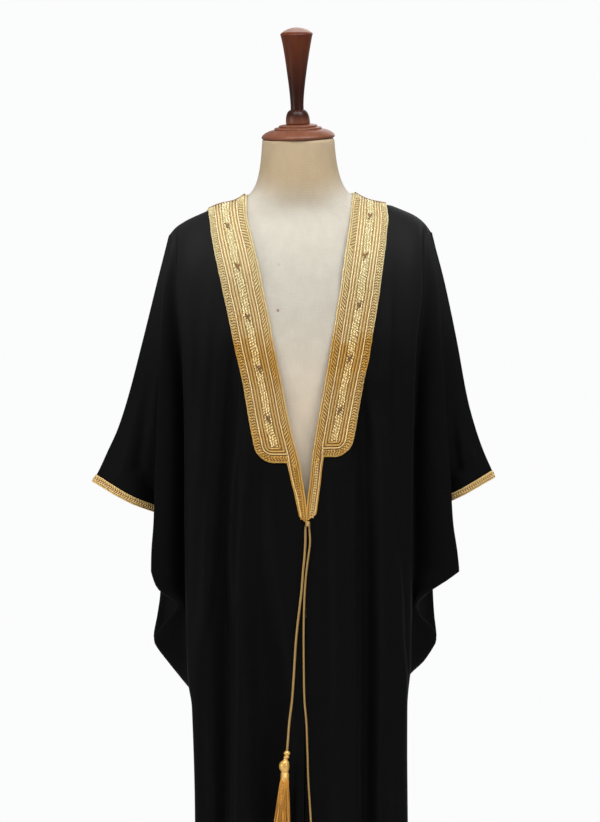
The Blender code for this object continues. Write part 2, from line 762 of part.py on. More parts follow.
def add_solid(name, vertices, triangles, material, smooth=True):
    """An object from a closed mesh, its faces turned outwards."""
    points = np.asarray(vertices, float)
    corners = points[np.array(triangles)]
    volume = np.einsum("ij,ij->i", corners[:, 0], np.cross(corners[:, 1], corners[:, 2])).sum()
    if volume < 0:
        triangles = [tuple(reversed(t)) for t in triangles]
    mesh = bpy.data.meshes.new(name)
    mesh.from_pydata([tuple(map(float, v)) for v in points], [], triangles)
    mesh.validate()
    if smooth:
        mesh.shade_smooth()
        mesh.set_sharp_from_angle(angle=math.radians(50))
    piece = bpy.data.objects.new(name, mesh)
    bpy.context.scene.collection.objects.link(piece)
    mesh.materials.append(material)
    return piece


def make_material(name, colour, roughness, metallic=0.0):
    material = bpy.data.materials.new(name)
    material.use_nodes = True
    shader = material.node_tree.nodes["Principled BSDF"]
    shader.inputs["Base Color"].default_value = (*colour, 1.0)
    shader.inputs["Roughness"].default_value = roughness
    shader.inputs["Metallic"].default_value = metallic
    return material


def add_cloth():
    """The right front, the left front and the back. Returns each front's grids, for its band."""
    cloth = {}
    black = {"front_right": 0.012, "front_left": 0.014, "back": 0.010}
    grids = {}
    for side in ("right", "left"):
        for face in ("front", "back"):
            surface = side_surface(side, face)
            normals = side_normals(surface, -SIGN[side] * SIGN[face])
            grids[side, face] = (surface, surface - normals * CLOTH, seam_points(surface))
    for side in ("right", "left"):
        outside, inside, on_seam = grids[side, "front"]
        cloth["front_" + side] = (outside, inside, present_cells(*outside.shape[:2]), on_seam)
    right, left = grids["right", "back"], grids["left", "back"]
    outside, inside, on_seam = (np.concatenate([r[:, :0:-1], l], axis=1) for r, l in zip(right, left))
    # The two halves meet in the middle of the back on one line of points.
    middle = right[0].shape[1] - 1
    inside[:, middle, 0] = 0.0
    half = present_cells(*right[0].shape[:2])
    cloth["back"] = (outside, inside, np.concatenate([half[:, ::-1], half], axis=1), on_seam)
    turn_at = {"back": middle}
    for name, (outside, inside, present, on_seam) in cloth.items():
        turned = turn_at.get(name, present.shape[1])
        outside, inside = clear_form(outside, inside, present, on_seam, turned)
        shade = black[name]
        material = make_material(name + "_wool", (shade, shade, shade * 1.1), 0.75)
        add_solid(name, *wall_mesh(outside, inside, present, turned), material)
        cloth[name] = (outside, outside - inside, present)
    return cloth


def along_row(row, share):
    """A point of a row's straight stretches, by share of the band's width."""
    shares = (0.0,) + BAND_SHARES
    return np.array([np.interp(share, shares, row[: len(shares), k]) for k in range(3)])


def add_front_band(side, cloth, material):
    """The front's gold band: raised borders and cords, and the narrow edging below its foot."""
    outside, through_wall, _ = cloth["front_" + side]
    under, over = [], []
    for r in range(CUFF_ROW + 1):
        reach = FOOT_REACH.get(r, 1.0)
        normal_row = through_wall[r] / np.linalg.norm(through_wall[r], axis=1, keepdims=True)
        under_row, over_row = [], []
        for share, height in zip(BAND_PROFILE["share"], BAND_PROFILE["height"]):
            past_middle = max(share - BAND_SHARES[1], 0.0) / (1 - BAND_SHARES[1])
            at = min(share, BAND_SHARES[1]) + past_middle * (reach - BAND_SHARES[1])
            point, normal = along_row(outside[r], at), along_row(normal_row, at)
            if r == CUFF_ROW:
                point += (along_row(outside[r - 1], at) - point) * at / BAND_SHARES[0] * EDGING_POINT
            if r == 0:
                normal[1] = 0.0
            normal /= np.linalg.norm(normal)
            under_row.append(point + normal * LAY_GAP)
            over_row.append(point + normal * (LAY_GAP + BAND_THICK + height))
        under.append(under_row)
        over.append(over_row)
    under, over = np.array(under), np.array(over)
    present = np.ones((len(under) - 1, under.shape[1] - 1), bool)
    present[FOOT_ROW:, NARROW_COLUMNS:] = False
    # The wide part's columns end at its foot, so nothing below there is read from them.
    return add_solid("band_" + side, *wall_mesh(over, under, present), material)


def add_neck_band(cloth, material):
    """The band round the back of the neck, from one shoulder seam to the other."""
    outside, through_wall, _ = cloth["back"]
    middle = (outside.shape[1] - 1) // 2
    columns = slice(middle - BACK_STEPS[0], middle + BACK_STEPS[0] + 1)
    points = outside[: len(NECK_BAND_HEIGHTS), columns]
    normals = through_wall[: len(NECK_BAND_HEIGHTS), columns]
    normals = normals / np.linalg.norm(normals, axis=2, keepdims=True)
    heights = np.array(NECK_BAND_HEIGHTS)[:, None, None]
    under = points + normals * LAY_GAP
    over = points + normals * (LAY_GAP + BAND_THICK + heights)
    present = np.ones((points.shape[0] - 1, points.shape[1] - 1), bool)
    return add_solid("neck_band", *wall_mesh(over, under, present, BACK_STEPS[0]), material)


def add_cuff(side, cloth, material):
    """The gold band round a cuff's mouth, over the front layer, the upper fold and the back one."""
    front_out, front_wall, _ = cloth["front_" + side]
    back_out, back_wall, _ = cloth["back"]
    mouth = MOUTH_COLUMNS + 1
    front = front_out[:, -mouth:], front_wall[:, -mouth:]
    if side == "right":
        back = back_out[:, mouth - 1 :: -1], back_wall[:, mouth - 1 :: -1]
    else:
        back = back_out[:, -mouth:], back_wall[:, -mouth:]
    under, over = [], []
    for r in (CUFF_ROW - 1, CUFF_ROW):
        points = np.concatenate([front[0][r], back[0][r, -2::-1]])
        normals = np.concatenate([front[1][r], back[1][r, -2::-1]])
        normals /= np.linalg.norm(normals, axis=1, keepdims=True)
        points[mouth - 1, 1] = 0.0
        under.append(points + normals * LAY_GAP)
        over.append(points + normals * (LAY_GAP + CUFF_THICK))
    present = np.ones((1, len(under[0]) - 1), bool)
    return add_solid("cuff_" + side, *wall_mesh(np.array(over), np.array(under), present), material)


def cloth_front():
    """A tree of the fronts and their bands, to lay the cords on."""
    vertices, triangles = [], []
    for piece in bpy.data.objects:
        if piece.name in ("front_right", "front_left", "band_right", "band_left"):
            start = len(vertices)
            vertices += [v.co.copy() for v in piece.data.vertices]
            triangles += [tuple(start + v for v in p.vertices) for p in piece.data.polygons]
    return BVHTree.FromPolygons(vertices, triangles)


def front_y(tree, x, z):
    hit = tree.ray_cast(Vector((x, -0.4, z)), Vector((0, 1, 0)))[0]
    return hit.y if hit else -0.13


def cord_path(side, tree):
    """A cord's points: down its route on the cloth, one every three diameters.

    Near its end it comes away from the cloth, so that its tassel just rests there.
    """
    route, diameter = CORDS[side], CORD_DIAMETER[side]
    end_x, end_z = route["x"][-1], route["z"][-1]
    below = [
        front_y(tree, end_x + dx, end_z - drop)
        for dx in (-TASSEL_REACH, 0, TASSEL_REACH)
        for drop in np.linspace(0, TASSEL_HEAD["drop"][-1] + TASSEL_SKIRT, 8)
    ]
    end_y = min(below) - TASSEL_REACH - PIECE_GAP
    points = []
    for x, z in zip(route["x"], route["z"]):
        nearby = [front_y(tree, x + dx, z + dz) for dx in CORD_BESIDE for dz in CORD_ALONG]
        on_cloth = min(nearby) - diameter / 2 - CORD_LIFT
        away = smooth_step(1 - (z - end_z) / CORD_LEAVES_CLOTH)
        points.append((x, on_cloth + (end_y - on_cloth) * away, z))
    fine = through(points, [even(12)] * (len(points) - 1))
    run = np.concatenate([[0.0], np.linalg.norm(np.diff(fine, axis=0), axis=1).cumsum()])
    count = int(round(run[-1] / (3 * diameter))) + 1
    places = np.linspace(0.0, run[-1], count)
    return np.stack([np.interp(places, run, fine[:, k]) for k in range(3)], axis=1)


def add_cord(side, path, material):
    curve = bpy.data.curves.new("cord_" + side, "CURVE")
    curve.dimensions = "3D"
    curve.bevel_depth = CORD_DIAMETER[side] / 2
    curve.bevel_resolution = 2
    curve.use_fill_caps = True
    spline = curve.splines.new("POLY")
    spline.points.add(len(path) - 1)
    for point, place in zip(spline.points, path):
        point.co = (*place, 1.0)
    piece = bpy.data.objects.new("cord_" + side, curve)
    bpy.context.scene.collection.objects.link(piece)
    curve.materials.append(material)
    return piece


def add_knot(tree, material):
    """The wrapped knot at the foot of the opening, from which both cords hang."""
    top, bottom, x = KNOT_TOP, KNOT_TOP - KNOT_HEIGHT, KNOT_X
    radius = max(KNOT_RADII)
    heights = (bottom, (bottom + top) / 2, top)
    face = min(front_y(tree, x + dx, z) for dx in (-radius, 0, radius) for z in heights)
    profile = {"radius": np.array(KNOT_RADII), "z": np.linspace(bottom, top, len(KNOT_RADII))}
    y = face - radius - PIECE_GAP
    return add_solid("knot", *rings_mesh(turned_rings(profile, x, y, 12)), material)


def add_tassel(side, end, material):
    """A turned head, and locks of thread whose roots are the head's own underside."""
    profile = {
        "radius": TASSEL_HEAD["radius"][::-1],
        "z": end[2] - PIECE_GAP - TASSEL_HEAD["drop"][::-1],
    }
    rings = turned_rings(profile, end[0], end[1], TASSEL_LOCKS)
    mesh = bmesh.new()
    loops = [[mesh.verts.new(tuple(p)) for p in ring] for ring in rings]
    for lower, upper in zip(loops, loops[1:]):
        for j in range(TASSEL_LOCKS):
            k = (j + 1) % TASSEL_LOCKS
            mesh.faces.new((lower[j], lower[k], upper[k], upper[j]))
    mesh.faces.new(loops[-1])
    centre = rings[0].mean(axis=0)
    inner = [mesh.verts.new(tuple(centre + (p - centre) * TASSEL_CORE)) for p in rings[0]]
    roots = []
    for j in range(TASSEL_LOCKS):
        k = (j + 1) % TASSEL_LOCKS
        roots.append(mesh.faces.new((loops[0][j], inner[j], inner[k], loops[0][k])))
    core = mesh.faces.new(inner[::-1])
    mesh.normal_update()
    bmesh.ops.inset_individual(mesh, faces=roots, thickness=LOCK_GAP)
    for root in roots:
        way = root.calc_center_median() - Vector(centre)
        lock = root
        for share, size in LOCK_STEPS:
            grown = bmesh.ops.extrude_discrete_faces(mesh, faces=[lock])["faces"][0]
            middle = grown.calc_center_median()
            at = Vector(centre) + way * (1 + (TASSEL_SPREAD - 1) * share**LOCK_FLARE)
            at.z = centre[2] - TASSEL_SKIRT * share
            for corner in grown.verts:
                corner.co = at + (corner.co - middle) * size
            lock = grown
    grown = bmesh.ops.extrude_discrete_faces(mesh, faces=[core])["faces"][0]
    foot = Vector(centre) - Vector((0, 0, TASSEL_SKIRT * CORE_LENGTH))
    for corner in grown.verts:
        corner.co = foot + (corner.co - Vector(centre)) * CORE_TAPER
    bmesh.ops.recalc_face_normals(mesh, faces=mesh.faces)
    data = bpy.data.meshes.new("tassel_" + side)
    mesh.to_mesh(data)
    mesh.free()
    data.shade_smooth()
    data.set_sharp_from_angle(angle=math.radians(40))
    piece = bpy.data.objects.new("tassel_" + side, data)
    bpy.context.scene.collection.objects.link(piece)
    data.materials.append(material)
    return piece


def add_stand(iron, wood):
    for name, profile, segments in (("neck_cap", CAP_PROFILE, 24), ("finial", FINIAL_PROFILE, 16)):
        rings = [on_neck(ring) for ring in turned_rings(profile, segments=segments)]
        add_solid(name, *rings_mesh(rings), wood)
    top = FORM["z"][0] - PIECE_GAP
    pole = {"radius": np.array([POLE_RADIUS] * 2), "z": np.array([BASE_THICK + PIECE_GAP, top])}
    add_solid("pole", *rings_mesh(turned_rings(pole)), iron)
    edge = BASE_EDGE
    base = {
        "radius": np.array([BASE_RADIUS - edge / 2, BASE_RADIUS, BASE_RADIUS, BASE_RADIUS - edge]),
        "z": np.array([0.0, edge / 2, BASE_THICK - edge, BASE_THICK]),
    }
    add_solid("base", *rings_mesh(turned_rings(base, segments=40)), iron)


def main():
    for old in list(bpy.data.objects):
        bpy.data.objects.remove(old, do_unlink=True)
    linen = make_material("linen", (0.62, 0.52, 0.40), 0.85)
    wood = make_material("dark_wood", (0.10, 0.035, 0.025), 0.35)
    iron = make_material("iron", (0.05, 0.05, 0.05), 0.4, 1.0)
    gold = make_material("gold_zari", (0.62, 0.42, 0.15), 0.4, 0.6)
    thread = make_material("gold_thread", (0.55, 0.30, 0.08), 0.5, 0.4)
    add_solid("dress_form", FORM_VERTICES, FORM_TRIANGLES, linen)
    add_stand(iron, wood)
    cloth = add_cloth()
    for side in ("right", "left"):
        add_front_band(side, cloth, gold)
        add_cuff(side, cloth, gold)
    add_neck_band(cloth, gold)
    bpy.context.view_layer.update()
    tree = cloth_front()
    add_knot(tree, thread)
    for side in ("right", "left"):
        path = cord_path(side, tree)
        add_cord(side, path, thread)
        add_tassel(side, path[-1], thread)


main()
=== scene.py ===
import math

import bpy
import numpy as np
from mathutils import Matrix, Vector
from mathutils.bvhtree import BVHTree


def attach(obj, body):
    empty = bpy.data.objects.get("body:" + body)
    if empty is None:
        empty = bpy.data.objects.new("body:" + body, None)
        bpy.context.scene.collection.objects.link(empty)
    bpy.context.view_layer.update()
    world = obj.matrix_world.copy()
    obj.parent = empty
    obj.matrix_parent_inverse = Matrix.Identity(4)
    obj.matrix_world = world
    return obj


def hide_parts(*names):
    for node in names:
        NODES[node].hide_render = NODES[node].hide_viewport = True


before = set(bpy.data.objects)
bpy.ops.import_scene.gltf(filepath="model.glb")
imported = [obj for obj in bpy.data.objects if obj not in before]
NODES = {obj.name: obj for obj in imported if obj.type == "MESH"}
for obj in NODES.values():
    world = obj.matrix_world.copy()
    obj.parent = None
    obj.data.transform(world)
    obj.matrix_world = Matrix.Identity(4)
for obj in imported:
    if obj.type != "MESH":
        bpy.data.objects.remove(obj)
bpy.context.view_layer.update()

RANDOM = np.random.default_rng(7)
SIGN = {"right": -1.0, "left": 1.0, "front": -1.0, "back": 1.0}


def numbers(text):
    """Rows of numbers in metres, from a text in millimetres with a comma between rows."""
    return [[float(word + "e-3") for word in row.split()] for row in text.split(",")]


def table(columns, text):
    """Named columns of numbers, from a header line and one row for each section."""
    return {name: np.array(column) for name, column in zip(columns.split(), zip(*numbers(text)))}


def folds(text):
    """Folds of the cloth, with a semicolon between them.

    Each has its reach towards the garment's middle and its reach outwards, then its run: level, how
    far out and depth outwards. A short reach makes a sharp flank.
    """
    found = []
    for fold in text.split(";"):
        reach, run = fold.split(":")
        found.append((np.array(numbers(run)), *numbers(reach)[0]))
    return found


# The garment's and the form's measures, as in the part's source.
HEM = 0.055
CLOTH = 0.002
NECK_HALF_WIDTH = 0.090
NECKLINE_BACK = 0.0645
NECKLINE_Z = 1.5005
CUFF_LEVEL = 0.962
CUFF_BAND = 0.0115
BODY_TOP = 1.345
FORM_FOOT = 0.800
NECK_TOP = 1.599
NECK_TILT_FORWARD = math.radians(5.0)
NECK_LEAN = math.radians(2.0)
# Half the slit between front and back at a seam, the gap kept from the form, and half the least
# hollow left between front and back elsewhere.
SEAM_HALF_GAP = 0.0002
FORM_GAP = 0.0008
LEAST_HALF_HOLLOW = 0.0027

# The camera: what it looks at, from how far and how high, and the width that fills the picture.
CAMERA_TARGET = (0, 0, 1.1418)
CAMERA_DISTANCE = 8.0
CAMERA_RISE = math.radians(2.5)
CAMERA_SPAN = 1.381
# Lamps: name, place, size, watts and colour. All of them face the middle of the garment.
LAMPS_FACE = (0, 0, 1.15)
LAMPS = (
    ("key light", (-1.2, -2.0, 5.0), 2.0, 146.0, (1.0, 0.985, 0.96)),
    ("second light", (1.4, -1.8, 4.9), 2.2, 204.0, (0.99, 0.99, 1.0)),
    ("right low light", (-4.9, -2.4, 1.6), 2.0, 112.0, (1.0, 0.985, 0.97)),
    ("left low light", (3.8, -3.7, 1.6), 2.5, 34.0, (1.0, 0.99, 0.98)),
    ("back light", (1.2, 3.2, 3.0), 2.6, 30.0, (1.0, 1.0, 1.0)),
)
# How strongly the pale room lights the part. The camera sees it at full strength.
ROOM_LIGHT = 0.36

# How far the neck, its cap and the finial have settled sideways, at each level.
STAND_SETS = table("z x", "1490 0, 1600 -2.9, 1616.5 -2.6, 1624 -2.5, 1648 -3, 1700 -1.9, 1775 0.2, 1790 0.2")
# Where each front's edge and its band's outer edge lie at each level, along X.
OPENING = table("level right_edge left_edge right_band left_band", """
    1360 -65.3 70.4 -131.2 134.8,
    1310 -54.5 62 -119.8 126.4,
    1250 -43.9 52.4 -107.4 116.6,
    1190 -31.5 42 -94.2 104.5,
    1120 -17.6 29.5 -82.2 91.4,
    1062 -2.6 20.8 -70.8 81.2,
    1020 4.6 16.8 -65 77.5,
    1004 7.2 14.4 -64 77,
    979 9.6 12.1 -63 76.6,
    962 10.2 11.7 -62.5 76.4,
    655 8 9.6 -64 77,
    55 5.2 6.8 -70 80
""")
# How far out the lines of the cloth stand at each level: the ridge of the body, the tuck beside it,
# the edge of the lobe that falls from the shoulder, the pocket behind that edge, and the notch
# where the sleeve begins.
SIDE_LINES = {
    "right": table("level ridge tuck lobe pocket notch", """
        1450 196 206 211 214.5 217,
        1360 203 208 228 219 229,
        1250 192 198 233.5 211 235,
        1120 189 193 238.5 203 245,
        1030 188 192 242 200 243,
        962 188 192 244 198 212,
        905 187 192 248 198 226,
        875 187 192 248.5 198 231,
        850 187 190 242 198 234.5,
        832 187 188 218 198 235.5,
        800 186 187 206 198 240,
        760 186 186 200 198 246.5,
        750 185.5 185 198 196 242.5,
        725 185 184 195 190 223.5,
        690 183 180 188 184 195.7,
        672 180 175 181.5 177 182.2,
        655 178 171 179.5 173.5 179.7,
        450 173 165 174 167 174,
        55 192 178 194 180 193
    """),
    "left": table("level ridge tuck lobe pocket notch", """
        1450 198 207 212 215 217.5,
        1360 199 207 230 220 230,
        1250 189 197 237.5 213 238,
        1120 185 191 245 203 243,
        1030 183 189 251 200 240,
        962 182 189 255 198 212,
        905 182 189 263 198 221,
        875 182 189 265.5 198 224,
        850 182 188 240 198 223.5,
        832 182 187 216 198 224,
        800 182 186 205 198 226,
        760 182 184 198 197 230,
        750 182 183 196.5 195 225,
        725 182 181 193 188 208.8,
        695 179 177 180 177 181.2,
        680 177.5 174.5 178.5 175 179,
        655 176 172 177 173.5 177.2,
        450 178 169 179 171 179,
        55 194 180 196 182 195
    """),
}
# The lobes' edges in finer steps, where they turn in under the cuffs.
LOBE_EDGE = {
    "right": table("level x", """
        875 248, 854 241, 840.5 231, 830 215.5, 820 205.5, 810 210, 775.5 238.5, 760 244.8, 750 240.5,
        725 222.2, 690 194.7, 672 181.5, 655 179.5
    """),
    "left": table("level x", """
        875 262.5, 860 242, 846.5 221.5, 830 203, 816.5 194.5, 806 198.5, 778 224.5, 760 228.5, 750 224,
        725 207.8, 695 180.4, 680 178.5, 655 177
    """),
}
# How far the lines, and the middle of the sleeve, stand in front of the seams or behind them.
DEPTH = {
    "front": table("level edge band ridge tuck lobe pocket notch middle", """
        1360 112 109 84 58 56 34 20 10,
        1250 122.5 119 97 56 66 36 26 16,
        1120 126 122 103 55 74 37 30 22,
        1030 129.5 127 106 55 78 37 22 26,
        962 132 128 107 55 79 36 0 27,
        875 131.5 128 108 55 77 34 0 27,
        850 131 128 108 56 70 33 0 27,
        832 131 128 108 58 58 32 0 27,
        760 130 128 109 62 50 30 0 27,
        655 130 129 110 66 43 22 0 27,
        450 130.5 132 114 70 45 22 0 27,
        55 139 143 124 78 50 24 0 27
    """),
    "back": table("level edge band ridge tuck lobe pocket notch middle", """
        1360 119 116 94 62 60 34 20 10,
        1250 123 124 103 60 70 36 26 16,
        1120 124 127 108 60 78 37 30 22,
        1030 125 128 110 60 80 37 22 26,
        962 126 130 111 60 82 36 0 27,
        875 128 132 112 60 78 34 0 27,
        832 129 133 112 62 62 32 0 27,
        760 130 134 113 66 52 30 0 27,
        655 131 135 114 70 46 22 0 27,
        450 134 139 118 74 48 22 0 27,
        55 146 152 130 84 54 24 0 27
    """),
}
# Behind, the lobes' edges lie a little further in, and the neckline's line runs down and out.
BACK_LOBE_INSET = 0.008
LOBE_FOOT = 0.80
LOBE_TOP = 1.36
LOBE_FADE = 0.10
BACK_LINE_TOP = 1.36
BACK_LINE_FLARE = 0.012
# The shoulder seam, and the upper fold of each sleeve down to its cuff.
SHOULDER_LINE = table("x z", """
    60 1512, 90 1503.5, 120 1490.5, 155 1476, 185 1461, 200 1451, 211 1440, 221 1427
""")
SLEEVE_TOP = table("z right left", """
    1441 219 220.5, 1427 222.5 224.5, 1362 239 241.8, 1261 264 263.3, 1160 290.5 282.2, 1110 307 296,
    1076 322.5 308, 1031 344 327.5, 1024 349 330
""")
# How much higher than the shoulder line each shoulder stands as it is worn.
RAISED = table("x right left", """
    80 0 0, 90 0 3, 105 0 3.4, 119 2.5 5, 132 5.5 8, 141 6.2 10.2, 155 5.5 13.8, 170 5 13.8, 195 4.5 13.8,
    210 7 14.5, 222 8 13
""")
# Where each front band's outer edge meets the shoulder seam.
BAND_ON_SHOULDER = {"right": 0.1546, "left": 0.1450}
# How much further out than a straight fall each front's edge and its band lie near the shoulder.
SWAY = {"right": table("level edge band", """
    1504 0 0, 1490 3.5 0, 1472 6.2 0, 1452 4.7 2.1, 1432 3.1 3.4, 1412 1.7 3.2, 1392 0.8 2.1, 1372 0 1,
    1352 0 0, 1300 0 0
"""), "left": table("level edge band", """
    1504 0 0, 1490 0 0, 1478 0 2.8, 1464 0 4.8, 1450 0 5, 1430 0 5.2, 1410 0 4.6, 1390 0 2.9, 1370 0 1.4,
    1352 0 0.3, 1300 0 0
""")}
# Near the shoulder's top the cloth settles onto the form: within this reach, fading out over this
# width and over this much of the roll.
SETTLE_DEGREES = 100.0
SETTLE_WITHIN = 0.20
SETTLE_FADE = 0.05
# How the rows rise to the sleeves' tips and notches, and how they sag between the two.
SLEEVE_LIFT = table("level tip_right tip_left notch_right notch_left sag_right sag_left", """
    1345 -4 -4 0 0 0 0,
    1250 17 18 0 2 0 0,
    1120 38 42 0 6 1 0,
    1030 53 58 -1 9 3 1,
    962 62 69 1 11 6 1.5,
    905 62 69 0 0 0 0,
    55 62 69 0 0 0 0
""")

# The back's soft folds, from its middle to the ridge: share across at the top and at the hem,
# half width as a share, depth outwards, and the levels where each begins and is full.
BACK_FOLDS = {
    "right": [
        (0.00, 0.00, 0.13, 0.006, 1.38, 1.00), (0.22, 0.20, 0.16, -0.014, 1.36, 0.95),
        (0.44, 0.41, 0.15, 0.009, 1.34, 1.00), (0.68, 0.65, 0.17, -0.015, 1.34, 0.96),
        (0.88, 0.86, 0.12, 0.006, 1.30, 1.00),
    ],
    "left": [
        (0.00, 0.00, 0.13, 0.006, 1.38, 1.00), (0.27, 0.25, 0.17, -0.012, 1.37, 1.00),
        (0.50, 0.47, 0.15, 0.011, 1.33, 0.98), (0.72, 0.70, 0.16, -0.013, 1.32, 0.94),
        (0.90, 0.88, 0.11, 0.006, 1.28, 0.98),
    ],
}
# Their shares at the top are those at this level. Towards the ridge they are pushed out more and
# more to the side: from this share across, over this much of it, by this angle.
FOLDS_TOP = 1.40
FOLD_TURNS_FROM = 0.75
FOLD_TURNS_OVER = 0.50
FOLD_TURN = 0.8

# Folds and creases, listed one by one. The third on each front is its deep valley beside the band.
CREASES = {
    ("right", "front"): folds("""
        12 20: 1360 158 0, 1270 156 3, 1180 160 4, 1080 164 3, 1000 166 0;
        14 6: 1160 94 0, 1110 94 4, 1040 90.5 5, 980 88 0;
        13 34: 1260 113 0, 1227.5 114.2 -4, 1160 114.2 -8, 1093 117.6 -11, 1026 124.3 -13, 958.7 127.7 -14,
            891.5 129.4 -15, 757 125 -16, 589 124.3 -17, 300 131 -18, 55 136 -19;
        11 22: 1300 126 0, 1227.5 127.7 4, 1093 134.4 5, 958.7 144.5 5, 824.3 154.6 5, 757 166 3, 660 172 0;
        34 11: 1120 88 0, 1093 90.7 3, 1026 94.1 6, 958.7 95.8 7, 891.5 99.1 7, 757 102 8, 488 106 8, 55 112 9;
        34 50: 1080 76 0, 1026 78 -4, 958.7 76 -7, 891.5 72 -9, 824.3 62 -12, 757 54 -15, 690 44 -18,
            589 38 -21, 300 38 -23, 55 39 -24;
        20 20: 1420 172 0, 1330 168 -3, 1200 163 -3, 1100 160 0;
        16 16: 720 160 0, 600 162 -3, 400 158 -5, 55 162 -6
    """),
    ("left", "front"): folds("""
        20 10: 1340 152 0, 1260 150 4, 1160 146 5, 1060 150 3, 980 152 0;
        20 8: 1240 100 0, 1170 100 3, 1090 86 5, 1020 80 0;
        19 26: 1200 107.5 0, 1160 107.5 -5, 1093 108 -9, 1026 110.5 -12, 958.7 112 -14, 891.5 113 -16,
            757 113.5 -18, 488 112.5 -19, 55 117 -20;
        24 7: 1020 87 0, 958.7 88.5 2, 891.5 90 3, 690 93 4, 488 96.5 4, 55 102 5;
        22 20: 1220 121 0, 1160 122.6 3, 1093 136.1 4, 1026 144.5 5, 958.7 149.5 5, 824.3 154.6 5, 690 154.6 4,
            488 166 3, 300 168 0;
        14 9: 960 160 0, 890 164 4, 824.3 168 6, 757 170 6, 690 174.7 5, 560 177 0;
        40 16: 1100 66 0, 1000 70 3, 850 74 5, 600 78 6, 55 82 7;
        18 14: 1080 40 0, 950 44 -3, 800 48 -4, 620 50 0;
        18 18: 1420 170 0, 1340 168 -3, 1220 166 -3, 1120 165 0;
        28 28: 700 40 0, 500 42 -3, 300 45 -5, 55 48 -7;
        15 18: 620 148 0, 450 146 -4, 55 150 -8
    """),
    ("right", "back"): folds("""
        10 14: 1340 30 0, 1150 34 -3, 900 36 -5, 500 34 -6, 55 36 -7;
        9 14: 1180 94 0, 1000 96 4, 700 98 5, 55 102 6;
        14 9: 900 62 0, 600 60 3, 300 62 5, 55 64 6;
        18 14: 1380 150 0, 1250 146 -4, 1100 150 -3, 950 156 0;
        12 12: 700 132 0, 400 130 4, 55 134 7
    """),
    ("left", "back"): folds("""
        14 9: 1300 22 0, 1100 24 3, 800 22 4, 400 26 5, 55 28 6;
        10 15: 1160 76 0, 950 80 -4, 600 78 -6, 55 82 -7;
        13 9: 1050 118 0, 800 120 4, 450 116 6, 55 122 7;
        16 16: 1380 140 0, 1260 142 -4, 1120 148 -3, 980 154 0;
        10 14: 620 52 0, 400 54 3, 55 58 5
    """),
}
# The same, on the falls of cloth from the shoulders' points and on the sleeves.
OUTER_CREASES = {
    ("right", "front"): folds("""
        6 4: 1360 229.5 0, 1250 233 2, 1050 233 2, 930 236 0;
        14 18: 1300 244 0, 1200 256 -3, 1100 268 -5, 1030 276 -6;
        12 14: 1160 278 0, 1080 296 2, 1020 306 3
    """),
    ("left", "front"): folds("""
        6 4: 1340 230 0, 1220 234 2, 1020 240 2, 920 246 0;
        13 15: 1280 244 0, 1180 256 -3, 1080 264 -5, 1030 270 -6;
        10 10: 1100 280 0, 1060 293 3, 1030 300 3
    """),
    ("right", "back"): folds("""
        14 16: 1320 244 0, 1200 256 -4, 1050 270 -6;
        12 14: 1180 276 0, 1060 298 3
    """),
    ("left", "back"): folds("""
        13 15: 1300 243 0, 1180 254 -4, 1050 266 -6;
        10 12: 1140 272 0, 1050 290 3
    """),
}

# How far the cloth swells between the tuck and the fold beside it, and between which levels.
SWELL = 0.010
SWELL_TOP = 1.30
SWELL_FOOT = 0.80
# How much fuller the folds hang than their runs are written.
FOLD_SCALE = 1.25

# Steps across, from each line to the next: fine enough for the creases.
LINES = ("edge", "band", "ridge", "tuck", "lobe", "pocket", "notch", "middle")
STEPS = {"front": (14, 40, 10, 14, 12, 10, 6, 10), "back": (16, 44, 10, 14, 12, 10, 6, 10)}
# How much of the back, from its middle to the ridge, lies inside the neckline's line.
BACK_LINE_SHARE = 0.4
MOUTH_COLUMNS = 16
# The creases' runs are as the camera sees them: a little wider and lower than they lie.
VIEW_WIDENS = 1.016
VIEW_LOWERS = 0.0075
# The rows: a roll over the shoulder, then levels down to the cuffs, the lobes' feet and the hem.
ROLL_ANGLES = np.linspace(0.0, 90.0, 25)[:-1]
SLEEVE_ROWS, LOBE_ROWS, SKIRT_ROWS = 45, 40, 60
LOBES_END = 0.655
LEVELS = np.concatenate([
    np.linspace(BODY_TOP, CUFF_LEVEL, SLEEVE_ROWS + 1),
    np.linspace(CUFF_LEVEL, LOBES_END, LOBE_ROWS + 1)[1:],
    np.linspace(LOBES_END, HEM, SKIRT_ROWS + 1)[1:],
])
CUFF_ROW = len(ROLL_ANGLES) + SLEEVE_ROWS


def read_column(levels, values, at):
    """A table's column at any level, on a smooth curve that never overshoots the table's rows."""
    order = np.argsort(levels)
    x, y = levels[order], values[order]
    step = np.diff(x)
    rise = np.diff(y) / step
    turns = rise[:-1] * rise[1:] <= 0
    slope = np.empty_like(y)
    slope[0], slope[-1] = rise[0], rise[-1]
    both = np.where(turns, 1.0, rise[:-1] + rise[1:])
    slope[1:-1] = np.where(turns, 0.0, 2.0 * rise[:-1] * rise[1:] / both)
    at = np.clip(at, x[0], x[-1])
    i = np.clip(np.searchsorted(x, at, side="right") - 1, 0, len(x) - 2)
    t = (at - x[i]) / step[i]
    start = (1 + 2 * t) * y[i] + t * step[i] * slope[i]
    end = (3 - 2 * t) * y[i + 1] - (1 - t) * step[i] * slope[i + 1]
    return (1 - t) ** 2 * start + t**2 * end


def smooth_step(value):
    value = np.clip(value, 0.0, 1.0)
    return value * value * (3.0 - 2.0 * value)


